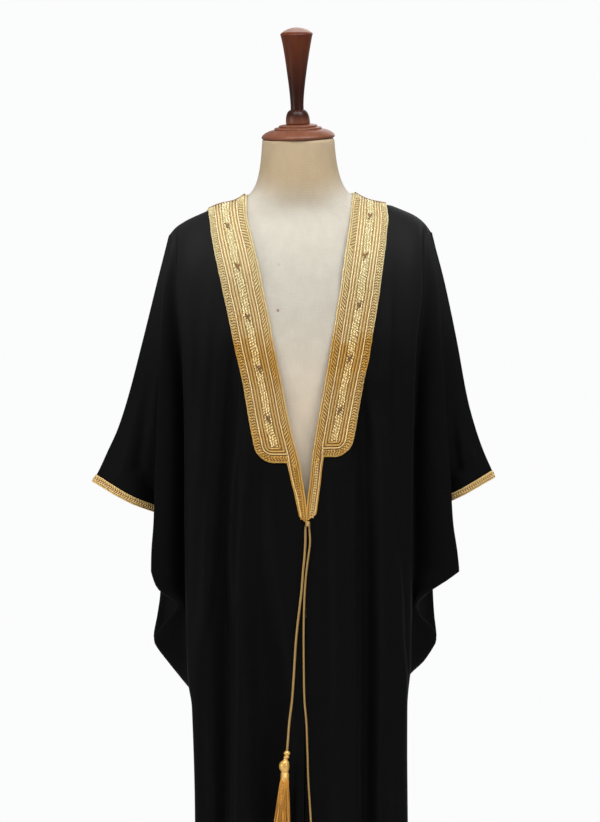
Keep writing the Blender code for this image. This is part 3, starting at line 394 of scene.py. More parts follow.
def through(points, spans):
    """A smooth curve through points. spans holds, for each stretch, the shares where it is read."""
    points = np.array(points, float)
    length = np.sqrt(np.maximum(np.linalg.norm(np.diff(points, axis=0), axis=1), 1e-6))
    rise = np.diff(points, axis=0) / length[:, None]
    tangent = np.empty_like(points)
    tangent[0], tangent[-1] = rise[0], rise[-1]
    before, after = length[:-1, None], length[1:, None]
    tangent[1:-1] = (rise[:-1] * after + rise[1:] * before) / (before + after)
    found = [points[:1]]
    for i, shares in enumerate(spans):
        t = np.array(shares)[:, None]
        start = (1 + 2 * t) * points[i] + t * length[i] * tangent[i]
        end = (3 - 2 * t) * points[i + 1] - (1 - t) * length[i] * tangent[i + 1]
        found.append((1 - t) ** 2 * start + t**2 * end)
    return np.concatenate(found)


def even(steps):
    """Even shares of a stretch, its start left out."""
    return np.arange(1, steps + 1) / steps


def unit(vectors):
    return vectors / np.maximum(np.linalg.norm(vectors, axis=-1, keepdims=True), 1e-12)


def run_length(points):
    """How far along a line of points each one is."""
    return np.concatenate([[0.0], np.linalg.norm(np.diff(points, axis=0), axis=1).cumsum()])


# Nodes, groups and materials.
def add(tree, kind, settings=None, **inputs):
    """A shader node with its settings and its inputs, each a value or another node's socket."""
    node = tree.nodes.new("ShaderNode" + kind)
    for name, value in (settings or {}).items():
        setattr(node, name, value)
    for name, value in inputs.items():
        key = int(name[1:]) if name[0] == "_" and name[1:].isdigit() else name.replace("_", " ")
        put(tree, node.inputs[key], value)
    return node


def put(tree, socket, value):
    """Links another node's socket to this one, or sets its value. A colour may leave out its alpha."""
    if isinstance(value, bpy.types.NodeSocket):
        tree.links.new(value, socket)
    elif socket.type == "RGBA" and len(value) == 3:
        socket.default_value = (*value, 1)
    else:
        socket.default_value = value


def calc(tree, operation, *values):
    node = add(tree, "Math", {"operation": operation})
    for socket, value in zip(node.inputs, values):
        put(tree, socket, value)
    return node.outputs[0]


def blend_colours(tree, share, first, second, kind="MIX"):
    node = add(tree, "Mix", {"data_type": "RGBA", "blend_type": kind}, _0=share)
    put(tree, node.inputs[6], first)
    put(tree, node.inputs[7], second)
    return node.outputs[2]


def ramp(tree, value, low, high):
    """A value read from low to high as 0 to 1, with soft ends."""
    node = add(tree, "MapRange", {"interpolation_type": "SMOOTHSTEP"}, Value=value)
    node.inputs["From Min"].default_value = low
    node.inputs["From Max"].default_value = high
    return node.outputs[0]


def own_place(tree):
    """A point's place on its piece, in metres."""
    return add(tree, "TexCoord").outputs["Object"]


def axis(tree, place, name):
    """One of a place's three measures, by its letter."""
    return add(tree, "SeparateXYZ", _0=place).outputs[name]


def uv(tree):
    return add(tree, "UVMap", {"uv_map": "UVMap"}).outputs[0]


def tinted(tree, colour, tint):
    return blend_colours(tree, 1.0, colour, tint, "MULTIPLY")


def new_group(name, inputs, outputs):
    tree = bpy.data.node_groups.new(name, "ShaderNodeTree")
    for label, kind, value in inputs:
        socket = tree.interface.new_socket(name=label, in_out="INPUT", socket_type="NodeSocket" + kind)
        if value is not None:
            socket.default_value = value
    for label, kind in outputs:
        tree.interface.new_socket(name=label, in_out="OUTPUT", socket_type="NodeSocket" + kind)
    return tree, tree.nodes.new("NodeGroupInput").outputs, tree.nodes.new("NodeGroupOutput").inputs


def make_weave_group():
    """Plain weave with slubs. Place in metres; gives the threads' height and a slow mottling."""
    tree, given, out = new_group(
        "plain weave",
        [("Place", "Vector", None), ("Threads", "Float", 900.0), ("Slub", "Float", 0.3)],
        [("Height", "Float"), ("Mottle", "Float")],
    )
    turns = calc(tree, "MULTIPLY", given["Threads"], math.pi)
    along, across = (calc(tree, "SINE", calc(tree, "MULTIPLY", axis(tree, given["Place"], k), turns)) for k in "XY")
    over = calc(tree, "MULTIPLY_ADD", calc(tree, "MULTIPLY", along, across), 0.35, 0.5)
    slubs = []
    for stretch in ((0.06, 1.0, 1.0), (1.0, 0.06, 1.0)):
        place = add(tree, "Mapping", {"vector_type": "POINT"}, Vector=given["Place"], Scale=stretch).outputs[0]
        slubs.append(add(tree, "TexNoise", Vector=place, Scale=700.0, Detail=2.0, Roughness=0.6).outputs[0])
    slub = calc(tree, "SUBTRACT", calc(tree, "ADD", *slubs), 1.0)
    put(tree, out["Height"], calc(tree, "MULTIPLY_ADD", slub, given["Slub"], over))
    slow = add(tree, "TexNoise", Vector=given["Place"], Scale=26.0, Detail=3.0, Roughness=0.55).outputs[0]
    put(tree, out["Mottle"], calc(tree, "MULTIPLY_ADD", slub, 0.6, slow))
    return tree


def make_twist_group():
    """Plied thread on a tube whose UV holds metres along and round it: the plies' height."""
    tree, given, out = new_group(
        "plied thread",
        [("Place", "Vector", None), ("Pitch", "Float", 0.003), ("Fibres", "Float", 0.35)],
        [("Height", "Float"), ("Groove", "Float")],
    )
    slant = calc(tree, "ADD", *(axis(tree, given["Place"], k) for k in "XY"))
    phase = calc(tree, "MULTIPLY", calc(tree, "DIVIDE", slant, given["Pitch"]), 2 * math.pi)
    ply = calc(tree, "MULTIPLY_ADD", calc(tree, "SINE", phase), 0.5, 0.5)
    fibre = calc(tree, "MULTIPLY", calc(tree, "SINE", calc(tree, "MULTIPLY", phase, 5.0)), given["Fibres"])
    put(tree, out["Height"], calc(tree, "MULTIPLY_ADD", fibre, 0.2, ply))
    put(tree, out["Groove"], calc(tree, "POWER", calc(tree, "SUBTRACT", 1.0, ply), 2.0))
    return tree


def make_gold_group():
    """Zari's colour: paler towards the top, a painted highlight for the light that falls from above, and deeper ochre
    further down.
    """
    tree, given, out = new_group(
        "zari colour",
        [("Pale", "Color", (0.8, 0.66, 0.32, 1)), ("Ochre", "Color", (0.58, 0.36, 0.1, 1)),
         ("Groove", "Float", 0.0), ("Groove colour", "Color", (0.2, 0.09, 0.02, 1))],
        [("Color", "Color")],
    )
    place = own_place(tree)
    noise = add(tree, "TexNoise", Vector=place, Scale=45.0, Detail=3.0, Roughness=0.6).outputs[0]
    shifted = calc(tree, "MULTIPLY_ADD", calc(tree, "SUBTRACT", noise, 0.5), 0.13, axis(tree, place, "Z"))
    # Darkest a hand's breadth above the bands' corners, and a little paler again round them.
    corners = calc(tree, "MULTIPLY_ADD", ramp(tree, shifted, 1.17, 1.245), -0.28, 0.28)
    paler = calc(tree, "MULTIPLY", ramp(tree, shifted, 1.02, 1.16), corners)
    paler = calc(tree, "MULTIPLY_ADD", ramp(tree, shifted, 1.245, 1.300), 0.60, paler)
    paler = calc(tree, "MULTIPLY_ADD", ramp(tree, shifted, 1.30, 1.42), 0.40, paler)
    body = blend_colours(tree, paler, given["Ochre"], given["Pale"])
    fleck = add(tree, "TexNoise", Vector=place, Scale=900.0, Detail=1.0).outputs[0]
    flecked = add(tree, "Gamma", Color=body, Gamma=calc(tree, "MULTIPLY_ADD", fleck, 1.6, 0.2)).outputs[0]
    body = blend_colours(tree, 0.35, body, flecked)
    # Painted shade: the grooves between the plies are darkened towards the groove colour.
    put(tree, out["Color"], blend_colours(tree, given["Groove"], body, given["Groove colour"]))
    return tree


WEAVE, TWIST, GOLD = make_weave_group(), make_twist_group(), make_gold_group()


def place_group(tree, group, **inputs):
    node = tree.nodes.new("ShaderNodeGroup")
    node.node_tree = group
    for name, value in inputs.items():
        put(tree, node.inputs[name.replace("_", " ")], value)
    return node.outputs


def new_material(name, **constants):
    material = bpy.data.materials.new(name)
    material.use_nodes = True
    tree = material.node_tree
    shader = tree.nodes["Principled BSDF"]
    for label, value in constants.items():
        put(tree, shader.inputs[label.replace("_", " ")], value)
    return material, tree, shader


def finish_material(tree, shader, colour, height, distance, strength):
    """The varying colour and the fine relief."""
    tree.links.new(colour, shader.inputs["Base Color"])
    relief = add(tree, "Bump", Height=height, Distance=distance, Strength=strength)
    tree.links.new(relief.outputs[0], shader.inputs["Normal"])


def make_wool():
    material, tree, shader = new_material(
        "black wool", Roughness=0.60, Specular_IOR_Level=0.038, Sheen_Weight=0.012, Sheen_Roughness=0.50,
        Sheen_Tint=(0.75, 0.77, 0.82),
    )
    weave = place_group(tree, WEAVE, Place=uv(tree), Threads=1300.0, Slub=0.5)
    mottle = ramp(tree, weave["Mottle"], 0.2, 0.9)
    shade = blend_colours(tree, mottle, (0.0014, 0.0014, 0.0015), (0.0019, 0.0018, 0.0019))
    # Painted highlight: the wool is made paler towards the shoulders, standing in for the light that falls on them
    # from above.
    height = axis(tree, own_place(tree), "Z")
    shade = blend_colours(tree, ramp(tree, height, 1.18, 1.47), shade, (0.0080, 0.0080, 0.0083))
    finish_material(tree, shader, shade, weave["Height"], 0.00018, 0.5)
    return material


# The fine arcs round the foot of the neck: their centre and how far apart they are.
ARCS_CENTRE = (0.012, -0.07, 1.605)
ARCS_PITCH = 0.0046
# Two small marks of wear on the chest: x, z, radius and strength.
WEAR_MARKS = ((-0.0366, 1.3135, 0.0016, 0.90), (-0.0350, 1.389, 0.0020, 0.20))
WEAR_FADE = 0.0020


def spot_depth(x, z):
    """Where the dress form's front stands there, from its CAD node."""
    mesh = NODES["dress_form"].data
    tree = BVHTree.FromPolygons([v.co for v in mesh.vertices], [tuple(f.vertices) for f in mesh.polygons])
    return tree.ray_cast(Vector((x, -0.5, z)), Vector((0, 1, 0)))[0].y


def make_linen():
    material, tree, shader = new_material(
        "linen cover", Roughness=0.85, Specular_IOR_Level=0.2, Sheen_Weight=0.08, Sheen_Roughness=0.5,
        Sheen_Tint=(1.0, 0.95, 0.85),
    )
    weave = place_group(tree, WEAVE, Place=uv(tree), Threads=1100.0, Slub=0.9)
    place = own_place(tree)
    side, height = axis(tree, place, "X"), axis(tree, place, "Z")
    # Painted light: the cover is paler lower down and darker at the chest, making up for the stronger light on the
    # chest and the shade lower down.
    body = blend_colours(tree, ramp(tree, height, 1.06, 1.34), (0.662, 0.566, 0.438), (0.396, 0.376, 0.330))
    # The neck's cover is a warmer, darker tone.
    bowed = calc(tree, "MULTIPLY_ADD", calc(tree, "MULTIPLY", side, side), -5.0, height)
    body = blend_colours(tree, ramp(tree, bowed, 1.462, 1.535), body, (0.362, 0.283, 0.182))
    worn = tinted(tree, body, (0.88, 0.86, 0.83))
    body = blend_colours(tree, ramp(tree, weave["Mottle"], 0.1, 1.0), worn, body)
    # The cover is drawn in fine arcs round the foot of the neck.
    away = add(tree, "VectorMath", {"operation": "DISTANCE"}, _0=place, _1=ARCS_CENTRE).outputs["Value"]
    arcs = calc(tree, "SINE", calc(tree, "MULTIPLY", away, 2 * math.pi / ARCS_PITCH))
    below = calc(tree, "SUBTRACT", 1.0, ramp(tree, height, 1.55, 1.59))
    near = calc(tree, "MULTIPLY", ramp(tree, height, 1.455, 1.485), below)
    arcs = calc(tree, "MULTIPLY", near, calc(tree, "MULTIPLY_ADD", arcs, 0.17, 0.17))
    body = blend_colours(tree, arcs, body, tinted(tree, body, (0.86, 0.82, 0.76)))
    for x, z, size, strength in WEAR_MARKS:
        centre = (x, spot_depth(x, z), z)
        away = add(tree, "VectorMath", {"operation": "DISTANCE"}, _0=place, _1=centre).outputs["Value"]
        beyond = ramp(tree, away, size, size + WEAR_FADE)
        near = calc(tree, "MULTIPLY", calc(tree, "SUBTRACT", 1.0, beyond), strength)
        body = blend_colours(tree, near, body, (0.16, 0.09, 0.06))
    finish_material(tree, shader, body, weave["Height"], 0.0003, 0.6)
    return material


def make_gold(name, pale, ochre, groove, roughness, metallic, pitch, fibres=0.6, depth=0.0005, dark=0.75,
              streaks=0.0):
    """Gold thread: its pale and its ochre tone, the darker tone painted as shade into its grooves, and its plies'
    pitch.
    """
    material, tree, shader = new_material(name, Roughness=roughness, Metallic=metallic, Specular_IOR_Level=0.5)
    twist = place_group(tree, TWIST, Place=uv(tree), Pitch=pitch, Fibres=fibres)
    # How much painted shade the grooves between the plies take.
    deep = calc(tree, "MULTIPLY", twist["Groove"], dark)
    colour = place_group(tree, GOLD, Pale=pale, Ochre=ochre, Groove=deep, Groove_colour=groove)["Color"]
    if streaks:
        # Each thread starts at its own place on the pattern, so a slow noise gives each its own tone.
        tone = add(tree, "TexNoise", Vector=uv(tree), Scale=38.0, Detail=1.0).outputs[0]
        colour = blend_colours(tree, calc(tree, "MULTIPLY", ramp(tree, tone, 0.40, 0.62), streaks), colour, groove)
    finish_material(tree, shader, colour, twist["Height"], depth, 0.8)
    return material


def make_wood():
    material, tree, shader = new_material("dark stained wood", Roughness=0.36, Specular_IOR_Level=0.17)
    place = own_place(tree)
    stretched = add(tree, "Mapping", Vector=place, Scale=(1.0, 1.0, 0.14)).outputs[0]
    grain = add(tree, "TexNoise", Vector=stretched, Scale=130.0, Detail=6.0, Roughness=0.62,
                Distortion=0.6).outputs[0]
    rings = add(tree, "TexWave", {"wave_type": "RINGS", "rings_direction": "Z"}, Vector=stretched, Scale=22.0,
                Distortion=5.0, Detail=3.0).outputs[1]
    shade = blend_colours(tree, ramp(tree, grain, 0.30, 0.75), (0.72, 0.70, 0.68), (1.0, 1.0, 1.0))
    shade = blend_colours(tree, calc(tree, "MULTIPLY", rings, 0.25), shade, (0.66, 0.62, 0.58))
    # The tone is paler on the cap, a painted highlight for the light on its upward faces. On the finial it is darker
    # low on its neck and paler towards its top, and pale pink on its very top, a painted reflection of the light
    # above.
    height, tone = axis(tree, place, "Z"), (0.158, 0.056, 0.030)
    for low, high, above in (
        (1.622, 1.640, (0.024, 0.0046, 0.0012)),
        (1.672, 1.765, (0.094, 0.0205, 0.0062)),
        (1.7745, 1.7765, (0.270, 0.180, 0.155)),
    ):
        tone = blend_colours(tree, ramp(tree, height, low, high), tone, above)
    finish_material(tree, shader, tinted(tree, shade, tone), grain, 0.0002, 0.35)
    return material


def make_iron():
    material, tree, shader = new_material("satin black iron", Metallic=0.9, Specular_IOR_Level=0.5)
    place = own_place(tree)
    grain = add(tree, "TexNoise", Vector=place, Scale=400.0, Detail=4.0).outputs[0]
    slow = add(tree, "TexNoise", Vector=place, Scale=14.0, Detail=3.0).outputs[0]
    shade = blend_colours(tree, ramp(tree, slow, 0.3, 0.75), (0.018, 0.018, 0.019), (0.038, 0.037, 0.036))
    put(tree, shader.inputs["Roughness"], calc(tree, "MULTIPLY_ADD", slow, 0.25, 0.28))
    finish_material(tree, shader, shade, grain, 0.0001, 0.4)
    return material


WOOL, LINEN, WOOD, IRON = make_wool(), make_linen(), make_wood(), make_iron()
TAPE = make_gold("zari ground", (0.39, 0.240, 0.082), (0.195, 0.090, 0.016), (0.12, 0.050, 0.008), 0.6, 0.2,
                 0.0012, fibres=0.8, depth=0.0003)
CORDING = make_gold("zari cording", (0.655, 0.575, 0.315), (0.462, 0.250, 0.030), (0.25, 0.11, 0.018), 0.36, 0.30,
                    0.0026, dark=0.62)
BRIGHT = make_gold("bright zari", (0.72, 0.655, 0.42), (0.66, 0.47, 0.18), (0.50, 0.32, 0.12), 0.32, 0.25, 0.0024)
BED = make_gold("zari strip", (0.50, 0.40, 0.17), (0.36, 0.200, 0.034), (0.20, 0.09, 0.014), 0.5, 0.25,
                0.0016, dark=0.6)
STITCH = make_gold("zari stitches", (0.675, 0.595, 0.325), (0.52, 0.285, 0.037), (0.26, 0.115, 0.019), 0.36, 0.30,
                   0.0011, fibres=0.3, dark=0.40)
SEQUIN = make_gold("zari domes", (0.75, 0.70, 0.45), (0.76, 0.57, 0.25), (0.50, 0.31, 0.11), 0.24, 0.40,
                   0.0016, dark=0.3)
MARK = make_gold("brown zari marks", (0.28, 0.15, 0.045), (0.17, 0.075, 0.018), (0.06, 0.025, 0.006), 0.5, 0.2,
                 0.0012)
SILK = make_gold("gold cord", (0.365, 0.243, 0.085), (0.335, 0.212, 0.064), (0.16, 0.075, 0.018), 0.42, 0.25, 0.0040)
HEAD = make_gold("tassel head", (0.62, 0.40, 0.125), (0.60, 0.37, 0.100), (0.48, 0.22, 0.03), 0.28, 0.40, 0.0022)
THREAD = make_gold("tassel thread", (0.80, 0.40, 0.060), (0.78, 0.38, 0.052), (0.26, 0.10, 0.013), 0.40, 0.25,
                   0.0060, dark=0.3, streaks=0.75)


# Making and declaring pieces.
def make_piece(name, vertices, faces, material, nodes, uvs):
    """A piece from its points and its faces, which rides on the root and stands for those CAD nodes."""
    mesh = bpy.data.meshes.new(name)
    mesh.from_pydata(np.asarray(vertices, float).tolist(), [], [tuple(f) for f in faces])
    mesh.validate()
    corner = np.zeros(len(mesh.loops), int)
    mesh.loops.foreach_get("vertex_index", corner)
    layer = mesh.uv_layers.new(name="UVMap")
    layer.data.foreach_set("uv", np.asarray(uvs, np.float32)[corner].ravel())
    mesh.shade_smooth()
    piece = bpy.data.objects.new(name, mesh)
    bpy.context.scene.collection.objects.link(piece)
    mesh.materials.append(material)
    return declare(piece, nodes)


def declare(piece, nodes):
    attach(piece, "root")
    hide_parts(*nodes)
    return piece


def pick(piece):
    """Makes this the one piece that the next operators work on."""
    bpy.ops.object.select_all(action="DESELECT")
    piece.select_set(True)
    bpy.context.view_layer.objects.active = piece


def copy_of_node(name, node):
    """A copy of a CAD node's mesh with its loose triangles merged."""
    piece = bpy.data.objects.new(name, NODES[node].data.copy())
    bpy.context.scene.collection.objects.link(piece)
    pick(piece)
    bpy.ops.object.mode_set(mode="EDIT")
    bpy.ops.mesh.select_all(action="SELECT")
    bpy.ops.mesh.remove_doubles(threshold=0.00001)
    bpy.ops.mesh.tris_convert_to_quads()
    bpy.ops.object.mode_set(mode="OBJECT")
    return piece


def camera_and_light():
    scene = bpy.context.scene
    scene.view_settings.view_transform = "Standard"
    data = bpy.data.cameras.new("photo camera")
    camera = bpy.data.objects.new("photo camera", data)
    scene.collection.objects.link(camera)
    scene.camera = camera
    away = Vector((0, -math.cos(CAMERA_RISE), math.sin(CAMERA_RISE)))
    camera.location = Vector(CAMERA_TARGET) + away * CAMERA_DISTANCE
    camera.rotation_euler = (-away).to_track_quat("-Z", "Y").to_euler()
    data.lens = data.sensor_width * CAMERA_DISTANCE / CAMERA_SPAN
    data.clip_end = 60
    for name, place, size, power, colour in LAMPS:
        lamp = bpy.data.lights.new(name, "AREA")
        lamp.energy, lamp.size, lamp.color = power, size, colour
        light = bpy.data.objects.new(name, lamp)
        light.location = place
        light.rotation_euler = (Vector(LAMPS_FACE) - Vector(place)).to_track_quat("-Z", "Y").to_euler()
        scene.collection.objects.link(light)
    world = bpy.data.worlds.new("pale studio")
    world.use_nodes = True
    tree = world.node_tree
    tree.nodes["Background"].inputs[0].default_value = (0.97, 0.972, 0.975, 1)
    seen = tree.nodes.new("ShaderNodeLightPath").outputs["Is Camera Ray"]
    put(tree, tree.nodes["Background"].inputs[1], calc(tree, "MULTIPLY_ADD", seen, 1.0 - ROOM_LIGHT, ROOM_LIGHT))
    scene.world = world


def make_floor():
    bpy.ops.object.select_all(action="DESELECT")
    bpy.ops.mesh.primitive_circle_add(vertices=96, radius=2.6, fill_type="NGON", location=(0, 0, -0.0006))
    floor = bpy.context.active_object
    floor.name = "studio floor"
    material, tree, shader = new_material("pale floor", Roughness=0.7, Specular_IOR_Level=0.3)
    slow = add(tree, "TexNoise", Vector=own_place(tree), Scale=3.0, Detail=2.0).outputs[0]
    shade = blend_colours(tree, slow, (0.80, 0.80, 0.80), (0.86, 0.86, 0.86))
    tree.links.new(shade, shader.inputs["Base Color"])
    floor.data.materials.append(material)


# The dress form and its stand. The form's shoulders rise with the cloth's above a level, and its
# linen is wrapped as if round a pipe of this radius.
RAISE_FROM = 1.34
RAISE_OVER = 0.10
NECK_FOOT = 1.52
WRAP_RADIUS = 0.15
# How near to a level an edge counts as on it, and the smallest ring of a turned piece.
EDGE_WITHIN = 0.0005
LEAST_RADIUS = 0.0008


def lean():
    """How the top of the neck leans: forward, and towards the wearer's right."""
    up, down = Matrix.Translation((0, 0, NECK_TOP)), Matrix.Translation((0, 0, -NECK_TOP))
    return up @ Matrix.Rotation(-NECK_LEAN, 4, "Y") @ Matrix.Rotation(NECK_TILT_FORWARD, 4, "X") @ down


def make_dress_form():
    form = copy_of_node("dress_form_linen", "dress_form")
    mesh = form.data
    crease = mesh.attributes.new("crease_edge", "FLOAT", "EDGE")
    upright = lean().inverted()
    for edge in mesh.edges:
        ends = [mesh.vertices[v].co for v in edge.vertices]
        at_foot = all(abs(p.z - FORM_FOOT) < EDGE_WITHIN for p in ends)
        at_top = all((upright @ p).z > NECK_TOP - EDGE_WITHIN for p in ends)
        crease.data[edge.index].value = 0.9 if at_foot or at_top else 0.0
    modifier = form.modifiers.new("smooth form", "SUBSURF")
    modifier.levels = modifier.render_levels = 3
    pick(form)
    bpy.ops.object.modifier_apply(modifier=modifier.name)
    mesh = form.data
    points = np.zeros(len(mesh.vertices) * 3)
    mesh.vertices.foreach_get("co", points)
    points = points.reshape(-1, 3)
    points[:, 0] += read_column(STAND_SETS["z"], STAND_SETS["x"], points[:, 2])
    out = np.abs(points[:, 0])
    raised = (read_column(RAISED["x"], RAISED[side], out) for side in ("right", "left"))
    near_top = smooth_step((points[:, 2] - RAISE_FROM) / RAISE_OVER) * (points[:, 2] < NECK_FOOT)
    points[:, 2] += np.where(points[:, 0] < 0, *raised) * near_top
    mesh.vertices.foreach_set("co", points.ravel())
    corner = np.zeros(len(mesh.loops), int)
    mesh.loops.foreach_get("vertex_index", corner)
    around = np.arctan2(points[:, 0], -points[:, 1]) * WRAP_RADIUS
    uvs = np.stack([around[corner], points[corner, 2]], axis=1)
    # A face across the seam behind takes its far corners past the end of the strip.
    start = np.zeros(len(mesh.polygons), int)
    total = np.zeros(len(mesh.polygons), int)
    mesh.polygons.foreach_get("loop_start", start)
    mesh.polygons.foreach_get("loop_total", total)
    for s, n in zip(start, total):
        u = uvs[s : s + n, 0]
        if u.max() - u.min() > 2 * WRAP_RADIUS:
            uvs[s : s + n, 0] = np.where(u < 0, u + 2 * WRAP_RADIUS * math.pi, u)
    while mesh.uv_layers:
        mesh.uv_layers.remove(mesh.uv_layers[0])
    mesh.uv_layers.new(name="UVMap").data.foreach_set("uv", uvs.astype(np.float32).ravel())
    mesh.materials.clear()
    mesh.materials.append(LINEN)
    mesh.shade_smooth()
    mesh.set_sharp_from_angle(angle=math.radians(45))
    declare(form, ["dress_form"])
    tree = BVHTree.FromPolygons([tuple(p) for p in points], [tuple(f.vertices) for f in mesh.polygons])
    return form, tree


def turn_piece(name, profile, segments, material, nodes, leaned=False):
    """A turned piece: a circle drawn up through the profile's rings, then closed at both ends."""
    bpy.ops.object.select_all(action="DESELECT")
    radius, z = profile[0]
    bpy.ops.mesh.primitive_circle_add(
        vertices=segments, radius=radius, fill_type="NGON", location=(0, 0, z), enter_editmode=True)
    bpy.ops.mesh.select_all(action="SELECT")
    bpy.ops.mesh.delete(type="ONLY_FACE")
    bpy.ops.mesh.select_all(action="SELECT")
    for next_radius, next_z in profile[1:]:
        bpy.ops.mesh.extrude_edges_move(TRANSFORM_OT_translate={"value": (0, 0, next_z - z)})
        k = next_radius / radius
        bpy.ops.transform.resize(value=(k, k, 1), center_override=(0, 0, next_z))
        radius, z = next_radius, next_z
    bpy.ops.mesh.edge_face_add()
    bpy.ops.mesh.select_all(action="SELECT")
    bpy.ops.mesh.select_non_manifold()
    bpy.ops.mesh.edge_face_add()
    bpy.ops.mesh.select_all(action="SELECT")
    bpy.ops.mesh.normals_make_consistent(inside=False)
    bpy.ops.object.mode_set(mode="OBJECT")
    piece = bpy.context.active_object
    piece.name = name
    bpy.ops.object.transform_apply(location=True, rotation=True, scale=True)
    bpy.ops.object.shade_smooth_by_angle(angle=math.radians(38))
    if leaned:
        piece.data.transform(lean())
    piece.data.materials.append(material)
    return declare(piece, nodes)


def rounded(text, steps=5, up=1):
    """Rings of radius and level with smooth curves between them. A bar between rings keeps a sharp corner."""
    found = []
    for stretch in text.split("|"):
        rings = [(radius, up * z) for radius, z in numbers(stretch)]
        if len(rings) > 1:
            points = through([(radius, z, 0.0) for radius, z in rings], [even(steps)] * (len(rings) - 1))
            rings = [(float(max(radius, LEAST_RADIUS)), float(z)) for radius, z, _ in points]
        found += rings
    return found


def make_stand():
    cap = turn_piece("neck_cap_wood", rounded("""
        57.5 1599.4, 59.8 1599.7, 61.2 1601.2, 61.4 1603, 60.2 1605.2, 56 1608.8, 49 1612.2, 41 1614.2 |
        40.2 1614.4, 39.8 1615, 40 1616, 39.2 1617.2, 36.8 1617.8 | 33 1618.1, 32.2 1618.6, 32.4 1620,
        31.6 1621.2, 29 1621.9, 24 1622.6, 15 1623.1
    """), 96, WOOD, ["neck_cap"], leaned=True)
    finial = turn_piece("finial_wood", rounded("""
        18 1623.6, 19.8 1623.8, 20.2 1625.2, 20.1 1630, 19.5 1635.2, 17.8 1640.8, 15 1645, 11.6 1647.2 |
        11 1647.4, 11 1656, 11.8 1670, 13.6 1688, 16.4 1710, 19.6 1733, 23.6 1757, 26.8 1772.2, 27.4 1773.8 |
        27.2 1774.4, 24.5 1776.8, 20 1779.8, 14 1782.5, 7 1784.3, 2 1784.8
    """), 96, WOOD, ["finial"], leaned=True)
    for piece in (cap, finial):
        for vertex in piece.data.vertices:
            vertex.co.x += read_column(STAND_SETS["z"], STAND_SETS["x"], vertex.co.z)
    pole = numbers("13.8 20.3, 15 21.2, 15 45, 15 799, 14.8 799.6")
    turn_piece("stand_pole", pole, 64, IRON, ["pole"])
    turn_piece("stand_base", rounded("""
        150 0 | 153.5 0, 154.8 1.2, 155 3 | 155 13, 154.6 16, 152.5 19, 149 20 | 30 20 | 30 20, 29.6 20.1
    """, 4), 128, IRON, ["base"])


# The cloth.
def shoulder_height(side, x):
    return read_column(SHOULDER_LINE["x"], SHOULDER_LINE["z"], x) + read_column(RAISED["x"], RAISED[side], x)


def sleeve_top(side, z):
    return read_column(SLEEVE_TOP["z"], SLEEVE_TOP[side], z)


def line_x(side, face, line, level):
    """How far out a line stands, to its own side."""
    if line in ("edge", "band"):
        if face == "back":
            return 0.0 if line == "edge" else NECK_HALF_WIDTH + BACK_LINE_FLARE * (BACK_LINE_TOP - level)
        return SIGN[side] * read_column(OPENING["level"], OPENING[side + "_" + line], level)
    out = read_column(SIDE_LINES[side]["level"], SIDE_LINES[side][line], level)
    if line == "lobe" and LOBE_EDGE[side]["level"][-1] < level < LOBE_EDGE[side]["level"][0]:
        out = read_column(LOBE_EDGE[side]["level"], LOBE_EDGE[side]["x"], level)
    if face == "back" and line == "lobe":
        within = smooth_step((level - LOBE_FOOT) / LOBE_FADE) * smooth_step((LOBE_TOP - level) / LOBE_FADE)
        out -= BACK_LOBE_INSET * within
    return out


def back_fold_depth(side, share, level):
    fall = (FOLDS_TOP - level) / (FOLDS_TOP - HEM)
    depth = np.zeros_like(share)
    for at_top, at_hem, half_width, deep, from_level, full_level in BACK_FOLDS[side]:
        at = at_top + (at_hem - at_top) * fall
        near = np.clip(1.0 - np.abs(share - at) / half_width, 0.0, 1.0)
        depth += deep * smooth_step(near) * smooth_step((from_level - level) / (from_level - full_level))
    return depth


def level_row(side, face, level):
    """A row of the cloth at a level, outwards from the front edge or from the middle of the back."""
    depth = DEPTH[face]
    points = []
    notch_lift = read_column(SLEEVE_LIFT["level"], SLEEVE_LIFT["notch_" + side], level)
    tip_lift = read_column(SLEEVE_LIFT["level"], SLEEVE_LIFT["tip_" + side], level)
    sag = read_column(SLEEVE_LIFT["level"], SLEEVE_LIFT["sag_" + side], level)
    for line in LINES[:-1]:
        y = read_column(depth["level"], depth[line], level)
        lift = notch_lift if line == "notch" else 0.0
        points.append((line_x(side, face, line, level), y, level + lift))
    tip_z = level + tip_lift
    tip = (sleeve_top(side, tip_z), 0.0, tip_z)
    notch = points[-1]
    middle_y = read_column(depth["level"], depth["middle"], level)
    points.append(((notch[0] + tip[0]) / 2, middle_y, (notch[2] + tip_z) / 2 - sag))
    points.append(tip)
    row = through(points, [even(n) for n in STEPS[face]])
    if face == "back":
        first, second = STEPS["back"][:2]
        beyond = BACK_LINE_SHARE + (1 - BACK_LINE_SHARE) * even(second)
        share = np.concatenate([np.linspace(0, BACK_LINE_SHARE, first + 1), beyond])
        moved = back_fold_depth(side, share, level)
        turn = smooth_step((share - FOLD_TURNS_FROM) / FOLD_TURNS_OVER) * FOLD_TURN
        row[: len(share), 0] += moved * np.sin(turn)
        row[: len(share), 1] += moved * np.cos(turn)
    return row


SLEEVE_TOP_LEVEL = 1.436


